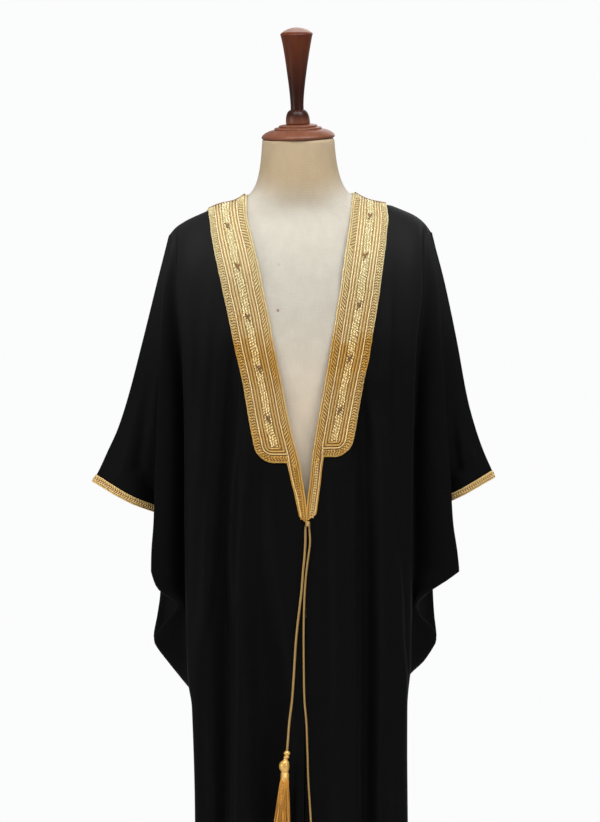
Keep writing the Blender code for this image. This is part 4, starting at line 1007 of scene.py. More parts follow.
def shoulder_row(side, face):
    """The top row, along the shoulder seam, and at the back round the neckline before it."""
    lines = SIDE_LINES[side]
    outward = [lines[name][0] for name in ("ridge", "tuck", "lobe", "pocket", "notch")]
    tip_x = sleeve_top(side, SLEEVE_TOP_LEVEL)
    stations = [NECK_HALF_WIDTH] + ([BAND_ON_SHOULDER[side]] if face == "front" else [])
    stations += outward + [(outward[-1] + tip_x) / 2, tip_x]
    steps = [even(n) for n in STEPS[face]]
    x = through([(s, 0.0, 0.0) for s in stations], steps if face == "front" else steps[1:])[:, 0]
    row = np.stack([x, np.zeros_like(x), shoulder_height(side, x)], axis=1)
    if face == "back":
        first = STEPS["back"][0]
        turn = np.arange(first) / first * math.pi / 2
        rise = shoulder_height(side, NECK_HALF_WIDTH) - NECKLINE_Z
        x, y = NECK_HALF_WIDTH * np.sin(turn), NECKLINE_BACK * np.cos(turn)
        row = np.concatenate([np.stack([x, y, NECKLINE_Z + rise * np.sin(turn) ** 2], axis=1), row])
    return row


def seam_points(surface):
    """Which points lie on the shoulder seam, the sleeve's upper fold or its underseam."""
    rows, columns = surface.shape[:2]
    on_seam = np.zeros((rows, columns), bool)
    on_seam[0] = np.abs(surface[0, :, 1]) < 0.001
    on_seam[: CUFF_ROW + 1, -1] = True
    on_seam[CUFF_ROW:, columns - 1 - MOUTH_COLUMNS] = True
    return on_seam


def grid_normals(surface, outward):
    normal = np.cross(np.gradient(surface, axis=0), np.gradient(surface, axis=1)) * outward
    return unit(normal)


def side_normals(surface, outward):
    normals = grid_normals(surface, outward)
    mouth = surface[:, -1 - MOUTH_COLUMNS :]
    normals[CUFF_ROW, -MOUTH_COLUMNS:] = grid_normals(mouth[: CUFF_ROW + 1], outward)[CUFF_ROW, 1:]
    body = surface[:, : surface.shape[1] - MOUTH_COLUMNS]
    normals[CUFF_ROW:, -1 - MOUTH_COLUMNS] = grid_normals(body, outward)[CUFF_ROW:, -1]
    normals[0, -1] = normals[0, -2] + normals[1, -1]
    normals[..., 1] = np.where(seam_points(surface), 0.0, normals[..., 1])
    return unit(normals)


def crease_depth(out, level, creases):
    """How deep the creases are at each point, by its level and how far out it stands."""
    depth = np.zeros_like(out)
    out, level = out * VIEW_WIDENS, level - VIEW_LOWERS
    for run, inner, outer in creases:
        at = read_column(run[:, 0], run[:, 1], level)
        deep = read_column(run[:, 0], run[:, 2], level)
        inside = (level <= run[:, 0].max()) & ((level >= run[:, 0].min()) | (run[-1, 0] <= HEM))
        away = out - at
        near = np.clip(np.abs(away) / np.where(away < 0, inner, outer), 0.0, 1.0)
        depth += np.where(inside, deep, 0.0) * (1 - near**2) ** 2
    return depth


def side_surface(side, face, form_tree):
    """One side's outer points: rows down from the shoulder, over it and then level by level."""
    top, first = shoulder_row(side, face), level_row(side, face, BODY_TOP)
    flip = np.array((SIGN[side], SIGN[face], 1.0))
    rows = []
    for angle in np.radians(ROLL_ANGLES):
        fall, reach = 1 - math.cos(angle), math.sin(angle)
        row = top + (first - top) * np.array([fall, reach, fall])
        row[-1, 0] = sleeve_top(side, row[-1, 2])
        if face == "front":
            columns = np.arange(len(row))
            share = columns / STEPS["front"][0]
            ends = [read_column(SWAY[side]["level"], SWAY[side][k], row[:, 2]) for k in ("edge", "band")]
            sway = ends[0] * (1 - np.minimum(share, 1)) + ends[1] * np.minimum(share, 1)
            row[:, 0] += sway * (1 - smooth_step(share - 1.0))
        settle = smooth_step((SETTLE_WITHIN - row[:, 0]) / SETTLE_FADE)
        settle *= 1 - smooth_step(math.degrees(angle) / SETTLE_DEGREES)
        for j in np.nonzero(settle > 0)[0]:
            near, normal, _, _ = form_tree.find_nearest(Vector(row[j] * flip))
            seated = (np.array(near) + np.array(normal) * (CLOTH + FORM_GAP)) * flip
            if angle == 0 and row[j, 1] == 0:
                seated[1] = 0.0
            row[j] += (seated - row[j]) * settle[j]
        rows.append(row)
    rows += [level_row(side, face, level) for level in LEVELS]
    surface = np.array(rows)
    on_seam = seam_points(surface)
    surface[..., 1] = np.where(on_seam, SEAM_HALF_GAP, np.maximum(surface[..., 1], LEAST_HALF_HOLLOW))
    # The creases, along the cloth's own normals.
    normals = side_normals(surface * flip, -SIGN[side] * SIGN[face]) * flip
    ridge, lobe = sum(STEPS[face][:2]), sum(STEPS[face][:4])
    column = np.arange(surface.shape[1])
    body = smooth_step((ridge + 4 - column) / 8.0)
    outer = smooth_step((column - lobe + 3) / 6.0) * smooth_step((surface.shape[1] - 1 - column) / 6.0)
    depth = crease_depth(surface[..., 0], surface[..., 2], CREASES[side, face]) * body * FOLD_SCALE
    depth += crease_depth(surface[..., 0], surface[..., 2], OUTER_CREASES[side, face]) * outer
    share = np.clip((column - sum(STEPS[face][:3])) / STEPS[face][3], 0.0, 1.0)
    level = surface[..., 2]
    within = smooth_step((SWELL_TOP - level) / 0.20) * smooth_step((level - SWELL_FOOT) / 0.07)
    depth += SWELL * np.sin(math.pi * share**0.8) ** 2 * within
    depth = np.where(on_seam, 0.0, depth)
    surface += normals * depth[..., None]
    surface[..., 1] = np.where(on_seam, SEAM_HALF_GAP, np.maximum(surface[..., 1], LEAST_HALF_HOLLOW))
    return surface * flip


CLEARING_ROUNDS = 12
CLEARING_REACH = 0.03


def clear_form(outside, inside, on_seam, form_tree):
    """Both faces of the wall moved out until the inner one lies just clear of the dress form."""
    rows, columns = outside.shape[:2]
    for _ in range(CLEARING_ROUNDS):
        moved = 0
        for r in range(rows):
            if inside[r, :, 2].max() < FORM_FOOT - 0.02:
                break
            for c in range(columns):
                point = Vector(inside[r, c])
                near, normal, _, gap = form_tree.find_nearest(point, CLEARING_REACH)
                if near is None:
                    continue
                gap = gap if (point - near).dot(normal) >= 0 else -gap
                if gap < FORM_GAP - 1e-5:
                    push = np.array(normal) * (FORM_GAP - gap)
                    if on_seam[r, c]:
                        push[1] = 0.0
                    inside[r, c] += push
                    outside[r, c] += push
                    moved += 1
        if not moved:
            break
    return outside, inside


def present_cells(rows, columns):
    present = np.ones((rows - 1, columns - 1), bool)
    present[CUFF_ROW:, columns - 1 - MOUTH_COLUMNS :] = False
    return present


def facing_out(points, faces):
    """The quads, turned over where they would enclose a negative volume."""
    a, b, c, d = (points[faces[:, k]] for k in range(4))
    volume = (np.einsum("ij,ij->i", a, np.cross(b, c)) + np.einsum("ij,ij->i", a, np.cross(c, d))).sum()
    return faces[:, ::-1] if volume < 0 else faces


def wall(outside, inside, present):
    """Points and quads of a closed wall between two grids, over the cells that are present."""
    used = np.zeros(outside.shape[:2], bool)
    for dr in (0, 1):
        for dc in (0, 1):
            used[dr : dr + present.shape[0], dc : dc + present.shape[1]] |= present
    number = np.full(used.shape, -1)
    number[used] = np.arange(used.sum())
    shift = int(used.sum())
    r, c = np.nonzero(present)
    quads = np.stack([number[r, c], number[r + 1, c], number[r + 1, c + 1], number[r, c + 1]], axis=1)
    edges = np.concatenate([quads[:, [0, 1]], quads[:, [1, 2]], quads[:, [2, 3]], quads[:, [3, 0]]]).tolist()
    key = {tuple(e) for e in edges}
    rim = np.array([e for e in edges if (e[1], e[0]) not in key])
    rims = np.stack([rim[:, 1], rim[:, 0], rim[:, 0] + shift, rim[:, 1] + shift], axis=1)
    faces = np.concatenate([quads, quads[:, ::-1] + shift, rims])
    points = np.concatenate([outside[used], inside[used]])
    return points, facing_out(points, faces), used


def grid_uv(surface):
    """Metres across and down the cloth, for its weave."""
    across = np.linalg.norm(np.diff(surface, axis=1), axis=2)
    down = np.linalg.norm(np.diff(surface, axis=0), axis=2)
    u = np.concatenate([np.zeros((surface.shape[0], 1)), np.cumsum(across, axis=1)], axis=1)
    v = np.concatenate([np.zeros((1, surface.shape[1])), np.cumsum(down, axis=0)], axis=0)
    return np.stack([u, -v], axis=2)


def cloth_piece(name, node, outside, inside, present):
    points, faces, used = wall(outside, inside, present)
    flat = grid_uv(outside)[used]
    piece = make_piece(name, points, faces, WOOL, [node], uvs=np.concatenate([flat, flat]))
    piece.data.set_sharp_from_angle(angle=math.radians(60))
    return piece


def make_cloth(form_tree):
    """The fronts and the back, and their grids for the bands."""
    grids = {}
    for side in ("right", "left"):
        for face in ("front", "back"):
            surface = side_surface(side, face, form_tree)
            normals = side_normals(surface, -SIGN[side] * SIGN[face])
            grids[side, face] = (surface, surface - normals * CLOTH, seam_points(surface))
    pieces = {}
    for side in ("right", "left"):
        outside, inside, on_seam = grids[side, "front"]
        outside, inside = clear_form(outside, inside, on_seam, form_tree)
        grids[side, "front"] = (outside, unit(outside - inside))
        name = "front_" + side
        pieces[name] = cloth_piece(name + "_cloth", name, outside, inside, present_cells(*outside.shape[:2]))
    right, left = grids["right", "back"], grids["left", "back"]
    outside, inside, on_seam = (np.concatenate([r[:, :0:-1], l], axis=1) for r, l in zip(right, left))
    middle = right[0].shape[1] - 1
    inside[:, middle, 0] = 0.0
    outside, inside = clear_form(outside, inside, on_seam, form_tree)
    grids["back"] = (outside, unit(outside - inside))
    grids["back_middle"] = middle
    half = present_cells(*right[0].shape[:2])
    pieces["back"] = cloth_piece("back_cloth", "back", outside, inside, np.concatenate([half[:, ::-1], half], axis=1))
    return pieces, grids


# The bands. Each is laid out flat, in metres: a is across it from its outer edge, t is along it. Its
# wide part ends in a round foot, where t is 0. The strip down its middle ends above it, at STRIP_FOOT.
BAND = 0.0632
STRIP_SIDES = (0.0240, 0.0372)
STRIP_MIDDLE = 0.5 * sum(STRIP_SIDES)
STRIP_FOOT = 0.0268
# Lines round the strip, by how far outside it they run: ropes, a pale line, a plaited border, piping.
ROPE_OFFSETS = (0.0026, 0.0074)
PALE_OFFSET = 0.0121
BORDER_OFFSETS = (0.0158, 0.0188, 0.0218)
PIPING_OFFSET = 0.0233
LEAF_CENTRE = 0.0554
LEAVES_TURN_AT = 1.415
FOOT_LEVEL = {"right": 1.0612, "left": 1.0714}
TIP_LEVEL = {"right": 0.9645, "left": 0.9670}
TIP_SLANT = {"right": 0.0085, "left": 0.0100}
# How high the tape's face and its underside lie above the cloth, and its rows and columns.
TAPE_TOP = 0.0010
TAPE_UNDER = 0.00005
TAPE_ROWS = 72
TAIL_ROWS = 18
TAPE_COLUMNS = (10, 4)
# How far apart the rings of a laid cord stand.
CORD_STEP = 0.002
# Where the tail's pale line and its plait begin, and how far apart the domes stand.
TAIL_LINE_TOP = 0.0148
TAIL_PLAIT_TOP = -0.004
DOME_PITCH = 0.0046
# How the piping lies: in from the tape's edge, halfway up its side, or hung over the cloth's edge.
PIPING_INSET = 0.0008
TAPE_SIDE = TAPE_TOP * 0.75
EDGE_ROPE_HEIGHT = -0.0003
# The brown marks: level, and how far to the side.
MARKS = {
    "right": numbers("1452 -1, 1385 1, 1302 0, 1216 1, 1134 0"),
    "left": numbers("1468 0, 1402 1, 1322 -1, 1234 0, 1149 0"),
}
# The outer edge of each band's narrow tail.
NARROW_EDGE = {
    "right": table("level a", "1061 45.2, 1036 46.3, 1011 48.6, 986 51.2, 973 53"),
    "left": table("level a", "1071 44.2, 1061 44.8, 1036 45.5, 1011 46.3, 986 47, 977 48.2"),
}


def spot(values, at):
    """Where a value falls in a rising list: the item before it and the share of the way on."""
    i = np.clip(np.searchsorted(values, at, side="right") - 1, 0, len(values) - 2)
    return i, (at - values[i]) / (values[i + 1] - values[i])


class Strip:
    """A patch of the cloth with flat measures on it: t along it and a across it."""

    def __init__(self, points, normals, t, a):
        self.points, self.normals, self.t, self.a = points, normals, t, a
        middle = points.shape[0] // 2
        across, along = points[middle, 1] - points[middle, 0], points[middle + 1, 0] - points[middle, 0]
        self.turned = float(np.dot(np.cross(across, along), normals[middle, 0])) < 0

    def place(self, a, t, h):
        """Points in space for flat measures, h above the cloth."""
        a, t, h = np.broadcast_arrays(np.asarray(a, float), np.asarray(t, float), np.asarray(h, float))
        i, u = spot(self.t, t)
        j, v = spot(self.a, a)
        u, v = u[..., None], v[..., None]
        found = []
        for grid in (self.points, self.normals):
            before = grid[i, j] * (1 - v) + grid[i, j + 1] * v
            after = grid[i + 1, j] * (1 - v) + grid[i + 1, j + 1] * v
            found.append(before * (1 - u) + after * u)
        return found[0] + unit(found[1]) * h[..., None]


class Work:
    """Small things of one kind on a strip, gathered into one mesh."""

    def __init__(self, strip):
        self.strip, self.points, self.faces, self.uvs, self.count = strip, [], [], [], 0

    def add(self, points, faces, uvs):
        faces = np.asarray(faces) + self.count
        self.faces += (faces[:, ::-1] if self.strip.turned else faces).tolist()
        self.points.append(points)
        self.uvs.append(uvs)
        self.count += len(points)

    def piece(self, name, material, slot, nodes):
        return make_piece(name, np.concatenate(self.points), self.faces, material, nodes,
                          uvs=np.concatenate(self.uvs))


def resample(path, step):
    path = np.asarray(path, float)
    run = run_length(path)
    places = np.linspace(0, run[-1], max(int(round(run[-1] / step)), 1) + 1)
    return np.stack([np.interp(places, run, path[:, k]) for k in range(path.shape[1])], axis=1)


def tube_faces(rings, sides):
    """The quads of a tube, ring after ring."""
    i, j = np.meshgrid(np.arange(rings - 1), np.arange(sides), indexing="ij")
    k = (j + 1) % sides
    return np.stack([i * sides + j, (i + 1) * sides + j, (i + 1) * sides + k, i * sides + k], axis=-1).reshape(-1, 4)


def lay_cord(work, path, radius, height, sides=8, wobble=0.00012, squash=1.0):
    """A cord along a flat path, with the small unevenness of hand work."""
    path = resample(path, CORD_STEP)
    way = unit(np.gradient(path, axis=0))
    across = np.stack([way[:, 1], -way[:, 0]], axis=1)
    count = len(path)
    drift = np.convolve(RANDOM.normal(size=count + 8), np.ones(9) / 3.0, mode="valid") * wobble
    path = path + across * drift[:, None]
    turn = np.arange(sides) * 2 * math.pi / sides
    size = radius * (1 + RANDOM.normal(size=(count, 1)) * 0.035)
    a = path[:, :1] + across[:, :1] * size * np.cos(turn)
    t = path[:, 1:] + across[:, 1:] * size * np.cos(turn)
    h = height + size * squash * np.sin(turn)
    points = work.strip.place(a, t, h).reshape(-1, 3)
    run = run_length(path)[:, None] + np.zeros(sides)
    round_it = np.zeros((count, 1)) + np.minimum(turn, 2 * math.pi - turn) * radius * 1.3
    work.add(points, tube_faces(count, sides), np.stack([run, round_it], axis=-1).reshape(-1, 2))


def make_template(segments, rings, size, bend=0.0):
    """A stitch's form: the upper part of a bead drawn out to its size, bent to an S where bend is given."""
    bpy.ops.mesh.primitive_uv_sphere_add(
        segments=segments, ring_count=rings, radius=1.0, rotation=(0, math.pi / 2, 0))
    bead = bpy.context.active_object
    bpy.ops.object.transform_apply(rotation=True)
    bpy.ops.object.mode_set(mode="EDIT")
    bpy.ops.mesh.select_all(action="SELECT")
    bpy.ops.mesh.quads_convert_to_tris()
    bpy.ops.object.mode_set(mode="OBJECT")
    points = np.array([v.co[:] for v in bead.data.vertices])
    faces = np.array([f.vertices[:] for f in bead.data.polygons])
    faces = faces[points[faces, 2].max(axis=1) > 0.05]
    bpy.data.objects.remove(bead, do_unlink=True)
    points[:, 1] += bend * np.sin(points[:, 0] * math.pi / 2) ** 3
    return points * np.array(size), faces


def stamp(work, template, places, turns, height, sizes=None):
    """Copies of a template laid flat at the places, each turned and sized."""
    shape, faces = template
    places, turns = np.asarray(places, float), np.asarray(turns, float)[:, None]
    sizes = np.ones(len(places)) if sizes is None else sizes
    x, y, z = (shape[None, :, k] * sizes[:, None] for k in range(3))
    a = places[:, :1] + x * np.cos(turns) - y * np.sin(turns)
    t = places[:, 1:] + x * np.sin(turns) + y * np.cos(turns)
    points = work.strip.place(a, t, height + z)
    every = faces[None] + (np.arange(len(places)) * len(shape))[:, None, None]
    # Each copy starts at its own place along the thread, so that no two show the same twist.
    start = RANDOM.uniform(0, 0.01, (len(places), 1, 1))
    flat = np.stack([x, y], axis=-1) + start
    work.add(points.reshape(-1, 3), every.reshape(-1, faces.shape[1]), flat.reshape(-1, 2))


def stitches_along(work, path, template, pitch, beside, turn, jitter=0.06, size_jitter=0.06):
    """Stitches along a flat path, to one side of it and slanted to it."""
    path = resample(path, pitch)
    way = unit(np.gradient(path, axis=0))
    across = np.stack([way[:, 1], -way[:, 0]], axis=1)
    places = path + across * beside
    turns = np.arctan2(way[:, 1], way[:, 0]) + turn + RANDOM.normal(size=len(path)) * jitter
    sizes = 1 + RANDOM.normal(size=len(path)) * size_jitter
    stamp(work, template, places, turns, TAPE_TOP + 0.0001, sizes)


def lay_plait(work, path, template, pitch, beside, slant):
    """Two rows of stitches along a path, which lean towards each other."""
    for way in (-1, 1):
        stitches_along(work, path, template, pitch, way * beside, -way * slant)


def round_foot(offset, top, end=None):
    """The line at an offset round the strip: down, round the outer corner, across and up again."""
    drop = offset + (STRIP_FOOT - STRIP_SIDES[0]) * max(offset - PALE_OFFSET, 0.0) / (STRIP_SIDES[0] - PALE_OFFSET)
    left, right, low = STRIP_SIDES[0] - offset, STRIP_SIDES[1] + offset, STRIP_FOOT - drop
    turn = np.radians(np.arange(0, 91, 7.5))
    path = [(left, top)] + [(STRIP_SIDES[0] - offset * math.cos(k), STRIP_FOOT - drop * math.sin(k)) for k in turn]
    if end is not None:
        return path + [(end, low)]
    bend = 0.0015
    path += [(right - bend + bend * math.sin(k), low + bend - bend * math.cos(k)) for k in turn[::3]]
    return path + [(right, top)]


def front_strip(side):
    points, normals = (grid[: CUFF_ROW + 4, : STEPS["front"][0] + 1][::-1, ::-1] for grid in GRIDS[side, "front"])
    centre = points[:, points.shape[1] // 2]
    along = run_length(centre)
    foot = np.interp(FOOT_LEVEL[side], centre[:, 2], along)
    strip = Strip(points, normals, along - foot, np.linspace(0, BAND, points.shape[1]))
    strip.level = lambda t: np.interp(t, strip.t, centre[:, 2])
    strip.at_level = lambda level: float(np.interp(level, centre[:, 2], strip.t))
    return strip


def narrow_edge(side, strip, t):
    edge = NARROW_EDGE[side]
    return read_column(edge["level"], edge["a"], strip.level(t))


def tape_piece(name, strip, a, t, present, node):
    """Woven tape over the cells of a flat grid that are present."""
    over, under = strip.place(a, t, TAPE_TOP), strip.place(a, t, TAPE_UNDER)
    points, faces, used = wall(over, under, present)
    flat = np.stack([a, t], axis=-1)[used]
    piece = make_piece(name, points, faces, TAPE, [node], uvs=np.concatenate([flat, flat]))
    piece.data.set_sharp_from_angle(angle=math.radians(50))
    return piece


def lay_ground(name, strip, t_range, a_range, node, steps):
    """A plain tape on a strip, between two lines along it."""
    a, t = np.meshgrid(np.linspace(*a_range, steps[1] + 1), np.linspace(*t_range, steps[0] + 1))
    return tape_piece(name, strip, a, t, np.ones(steps, bool), node)


def make_ground(side, strip):
    """The tape under a front band's cords and stitches, with its round foot and its narrow tail."""
    turn = np.radians(np.linspace(90, 0, 10))
    upper = list(np.linspace(strip.t[-1], STRIP_FOOT, TAPE_ROWS)) + list(STRIP_FOOT * (1 - np.cos(turn)))[1:]
    tip = strip.at_level(TIP_LEVEL[side])
    wide, narrow = TAPE_COLUMNS
    a = np.zeros((len(upper) + TAIL_ROWS, wide + narrow + 1))
    t = np.zeros_like(a)
    inner = narrow_edge(side, strip, 0.0)
    for r, along in enumerate(upper):
        reach = STRIP_SIDES[0] * math.sqrt(max(1.0 - (max(STRIP_FOOT - along, 0.0) / STRIP_FOOT) ** 2, 0.0))
        outer = np.linspace(STRIP_SIDES[0] - reach, inner, wide + 1)
        a[r] = np.concatenate([outer, np.linspace(inner, BAND, narrow + 1)[1:]])
        t[r] = along
    for r, share in enumerate(np.linspace(0, 1, TAIL_ROWS + 1)[1:], len(upper)):
        along = tip * share
        inner = narrow_edge(side, strip, along)
        a[r, wide:] = np.linspace(inner, BAND, narrow + 1)
        a[r, :wide] = inner
        rise = (BAND - a[r]) / (BAND - inner) * TIP_SLANT[side]
        t[r] = along + rise * share**4
    present = np.ones((a.shape[0] - 1, a.shape[1] - 1), bool)
    present[len(upper) - 1 :, :wide] = False
    return tape_piece("band_" + side + "_ground", strip, a, t, present, "band_" + side)


def make_front_band(side):
    strip = front_strip(side)
    name, node = "band_" + side + "_", ["band_" + side]
    top, tip = strip.t[-1] - 0.0008, strip.at_level(TIP_LEVEL[side])
    slant_foot = tip + TIP_SLANT[side]
    pieces = [make_ground(side, strip)]
    # The ropes round the strip.
    ropes = Work(strip)
    for offset in ROPE_OFFSETS:
        lay_cord(ropes, round_foot(offset, top), 0.00160, TAPE_TOP + 0.0003, squash=0.8)
    pieces.append(ropes.piece(name + "cording", CORDING, "gold_zari", node))
    # The pale lines: one round the strip, and one from its inner side down the tail's outer edge.
    bright = Work(strip)
    lay_cord(bright, round_foot(PALE_OFFSET, top), 0.00115, TAPE_TOP + 0.0004)
    down = np.linspace(TAIL_LINE_TOP, tip + TIP_SLANT[side] * 0.8, 24)
    edge = narrow_edge(side, strip, down)
    blend = smooth_step((TAIL_LINE_TOP - down) / 0.02)
    across = (1 - blend) * (STRIP_SIDES[1] + PALE_OFFSET) + blend * (edge + 0.0030)
    lay_cord(bright, np.stack([across, down], axis=1), 0.00105, TAPE_TOP + 0.0004)
    pieces.append(bright.piece(name + "pale_lines", BRIGHT, "gold_zari", node))
    # The piping: round the border, on the front's edge and beside it, down the tail and across its tip.
    piping = Work(strip)
    down = np.linspace(0.001, slant_foot, 24)
    outer = narrow_edge(side, strip, down) + PIPING_INSET
    at_tip = float(narrow_edge(side, strip, tip)) + PIPING_INSET
    for path, radius, height, wobble in (
        (round_foot(PIPING_OFFSET, top, end=0.0470), 0.00105, TAPE_SIDE, 0.0002),
        ([(BAND + 0.0001, top), (BAND + 0.0001, tip)], 0.00160, EDGE_ROPE_HEIGHT, 0.00012),
        ([(BAND - 0.0032, top), (BAND - 0.0032, tip + 0.001)], 0.00100, TAPE_TOP + 0.0002, 0.00012),
        (np.stack([outer, down], axis=1), 0.0010, TAPE_SIDE, 0.0002),
        ([(at_tip, slant_foot), (BAND - 0.0009, tip)], 0.0009, TAPE_SIDE, 0.00012),
    ):
        lay_cord(piping, path, radius, height, wobble=wobble)
    pieces.append(piping.piece(name + "piping", STITCH, "gold_zari", node))
    # The plaited border outside, the slanted leaves inside, and the fine plait of the tail.
    plait = Work(strip)
    long_stitch = make_template(8, 6, (0.0027, 0.00132, 0.0015))
    for offset, slant in zip(BORDER_OFFSETS, (0.7, -0.7, 0.7)):
        stitches_along(plait, round_foot(offset, top, end=0.0462), long_stitch, 0.0047, 0.0, slant, 0.15, 0.12)
    leaf = make_template(8, 8, (0.0064, 0.00132, 0.0018), bend=0.9)
    turned_at = strip.at_level(LEAVES_TURN_AT)
    for start, end, slant in ((top, turned_at, 0.80), (turned_at - 0.0052, -0.006, -0.80)):
        stitches_along(plait, [(LEAF_CENTRE, start), (LEAF_CENTRE, end)], leaf, 0.0057, 0.0, slant)
    tail = Work(strip)
    fine = make_template(8, 6, (0.0025, 0.00122, 0.0015))
    down = np.linspace(TAIL_PLAIT_TOP, tip + 0.005, 20)
    share = smooth_step((TAIL_PLAIT_TOP - down) / 0.05)
    centre = LEAF_CENTRE * (1 - share) + (0.5 * (narrow_edge(side, strip, down) + BAND) + 0.0002) * share
    lay_plait(tail, np.stack([centre, down], axis=1), fine, 0.0043, 0.0017, 0.65)
    pieces.append(tail.piece(name + "tail_plait", STITCH if side == "right" else BRIGHT, "gold_zari", node))
    pieces.append(plait.piece(name + "plait", STITCH, "gold_zari", node))
    # The strip down the middle: rows of small domes, and a brown mark every so often.
    bed = Work(strip)
    lay_cord(bed, [(STRIP_MIDDLE, top), (STRIP_MIDDLE, STRIP_FOOT + 0.0006)], 0.0064, TAPE_TOP, sides=10, squash=0.1)
    pieces.append(bed.piece(name + "strip_bed", BED, "gold_zari", node))
    domes = Work(strip)
    dome = make_template(8, 6, (0.0027, 0.00145, 0.0015), bend=0.45)
    places, turns = [], []
    for t in np.arange(STRIP_FOOT + 0.0017, top, DOME_PITCH):
        wave = 0.0005 * math.sin(t * 70) + 0.0004 * math.sin(t * 173 + 1)
        for column in range(3):
            across = STRIP_SIDES[0] + 0.0022 + column * 0.0044 + wave
            places.append((across, t + (DOME_PITCH / 2 if column == 1 else 0.0)))
            turns.append(0.9 + 0.35 * math.sin(t * 55 + column))
    count = len(places)
    places = np.array(places) + RANDOM.normal(size=(count, 2)) * 0.0003
    turns = np.array(turns) + RANDOM.normal(size=count) * 0.15
    stamp(domes, dome, places, turns, TAPE_TOP + 0.0004, 1 + RANDOM.normal(size=count) * 0.10)
    pieces.append(domes.piece(name + "domes", SEQUIN, "gold_zari", node))
    marks = Work(strip)
    comma = make_template(8, 8, (0.0086, 0.0021, 0.0017), bend=0.8)
    petal = make_template(8, 6, (0.0040, 0.0019, 0.0016), bend=0.3)
    at = np.array([(STRIP_MIDDLE + shift, strip.at_level(level)) for level, shift in MARKS[side]])
    stamp(marks, comma, at, np.full(len(at), 1.75), TAPE_TOP + 0.0011)
    stamp(marks, petal, at + (0.0024, 0.0018), np.full(len(at), 1.0), TAPE_TOP + 0.0011)
    # The dark seam along the shoulder, where the band meets the one behind the neck.
    seam = strip.t[-1] - 0.0004
    lay_cord(marks, [(0.0004, seam), (BAND - 0.0004, seam)], 0.0016, TAPE_TOP + 0.0012)
    pieces.append(marks.piece(name + "marks", MARK, "gold_zari", node))
    return pieces


def line(a, t_range, step=0.004):
    """A flat path along a strip."""
    t = np.arange(t_range[0], t_range[1], step)
    return np.stack([np.full(len(t), a), t], axis=1)


NECK_BAND_ROWS = 7


def make_neck_band():
    """The band behind the neck, which meets both front bands along the shoulder seams."""
    outside, normals = GRIDS["back"]
    middle = GRIDS["back_middle"]
    right = int(np.searchsorted(-outside[0, middle::-1, 0], BAND_ON_SHOULDER["right"]))
    left = int(np.searchsorted(outside[0, middle:, 0], BAND_ON_SHOULDER["left"]))
    columns = slice(middle - right, middle + left + 1)
    points, normals = (grid[:NECK_BAND_ROWS, columns].transpose(1, 0, 2) for grid in (outside, normals))
    t = run_length(points[:, 0])
    a = np.mean([run_length(row) for row in points], axis=0)
    strip = Strip(points, normals, t - t[-1] / 2, a)
    ends = (strip.t[0] + 0.0005, strip.t[-1] - 0.0005)
    pieces = [lay_ground("neck_band_ground", strip, ends, (0.0, 0.030), "neck_band", (96, 8))]
    cords, bright, plait = Work(strip), Work(strip), Work(strip)
    lay_cord(plait, line(-0.0001, ends), 0.00155, EDGE_ROPE_HEIGHT)
    lay_cord(plait, line(0.0293, ends), 0.00105, TAPE_SIDE)
    for at in (0.0135, 0.0170, 0.0205):
        lay_cord(cords, line(at, ends), 0.00122, TAPE_TOP + 0.0003)
    lay_cord(bright, line(0.0100, ends), 0.00100, TAPE_TOP + 0.0004)
    stitch = make_template(8, 6, (0.0026, 0.00130, 0.0014))
    for centre in (0.0056, 0.0250):
        lay_plait(plait, line(centre, (ends[0] + 0.003, ends[1] - 0.003)), stitch, 0.0045, 0.0019, 0.75)
    made = ((cords, "cording", CORDING), (bright, "pale_lines", BRIGHT), (plait, "plait", STITCH))
    for work, name, material in made:
        pieces.append(work.piece("neck_band_" + name, material, "gold_zari", ["neck_band"]))
    return pieces


def make_cuff(side):
    """The band round a cuff's mouth, over the front layer, the upper fold and the back one."""
    rows, mouth = slice(CUFF_ROW - 3, CUFF_ROW + 1), MOUTH_COLUMNS + 1
    joined = []
    for front, back in zip(GRIDS[side, "front"], GRIDS["back"]):
        behind = back[rows, mouth - 1 :: -1] if side == "right" else back[rows, -mouth:]
        joined.append(np.concatenate([front[rows, -mouth:], behind[:, -2::-1]], axis=1)[::-1].transpose(1, 0, 2))
    points, normals = joined
    points[mouth - 1, :, 1] = normals[mouth - 1, :, 1] = 0.0
    t = run_length(points[:, 0])
    strip = Strip(points, unit(normals), t, np.mean([run_length(row) for row in points], axis=0))
    ends = (0.0012, t[-1] - 0.0012)
    name = "cuff_" + side
    pieces = [lay_ground(name + "_ground", strip, ends, (0.0, CUFF_BAND), name, (64, 4))]
    plait, bright = Work(strip), Work(strip)
    lay_cord(plait, line(0.0002, ends, 0.003), 0.00150, EDGE_ROPE_HEIGHT)
    lay_cord(plait, line(0.0108, ends, 0.003), 0.00095, TAPE_TOP * 0.8)
    lay_cord(bright, line(0.0026, ends, 0.003), 0.00075, TAPE_TOP + 0.0002)
    stitch = make_template(8, 6, (0.0025, 0.00125, 0.0013))
    lay_plait(plait, line(0.0068, (ends[0] + 0.002, ends[1] - 0.002)), stitch, 0.0044, 0.0018, 0.75)
    pieces.append(plait.piece(name + "_plait", BRIGHT, "gold_zari", [name]))
    pieces.append(bright.piece(name + "_pale_line", BRIGHT, "gold_zari", [name]))
    return pieces


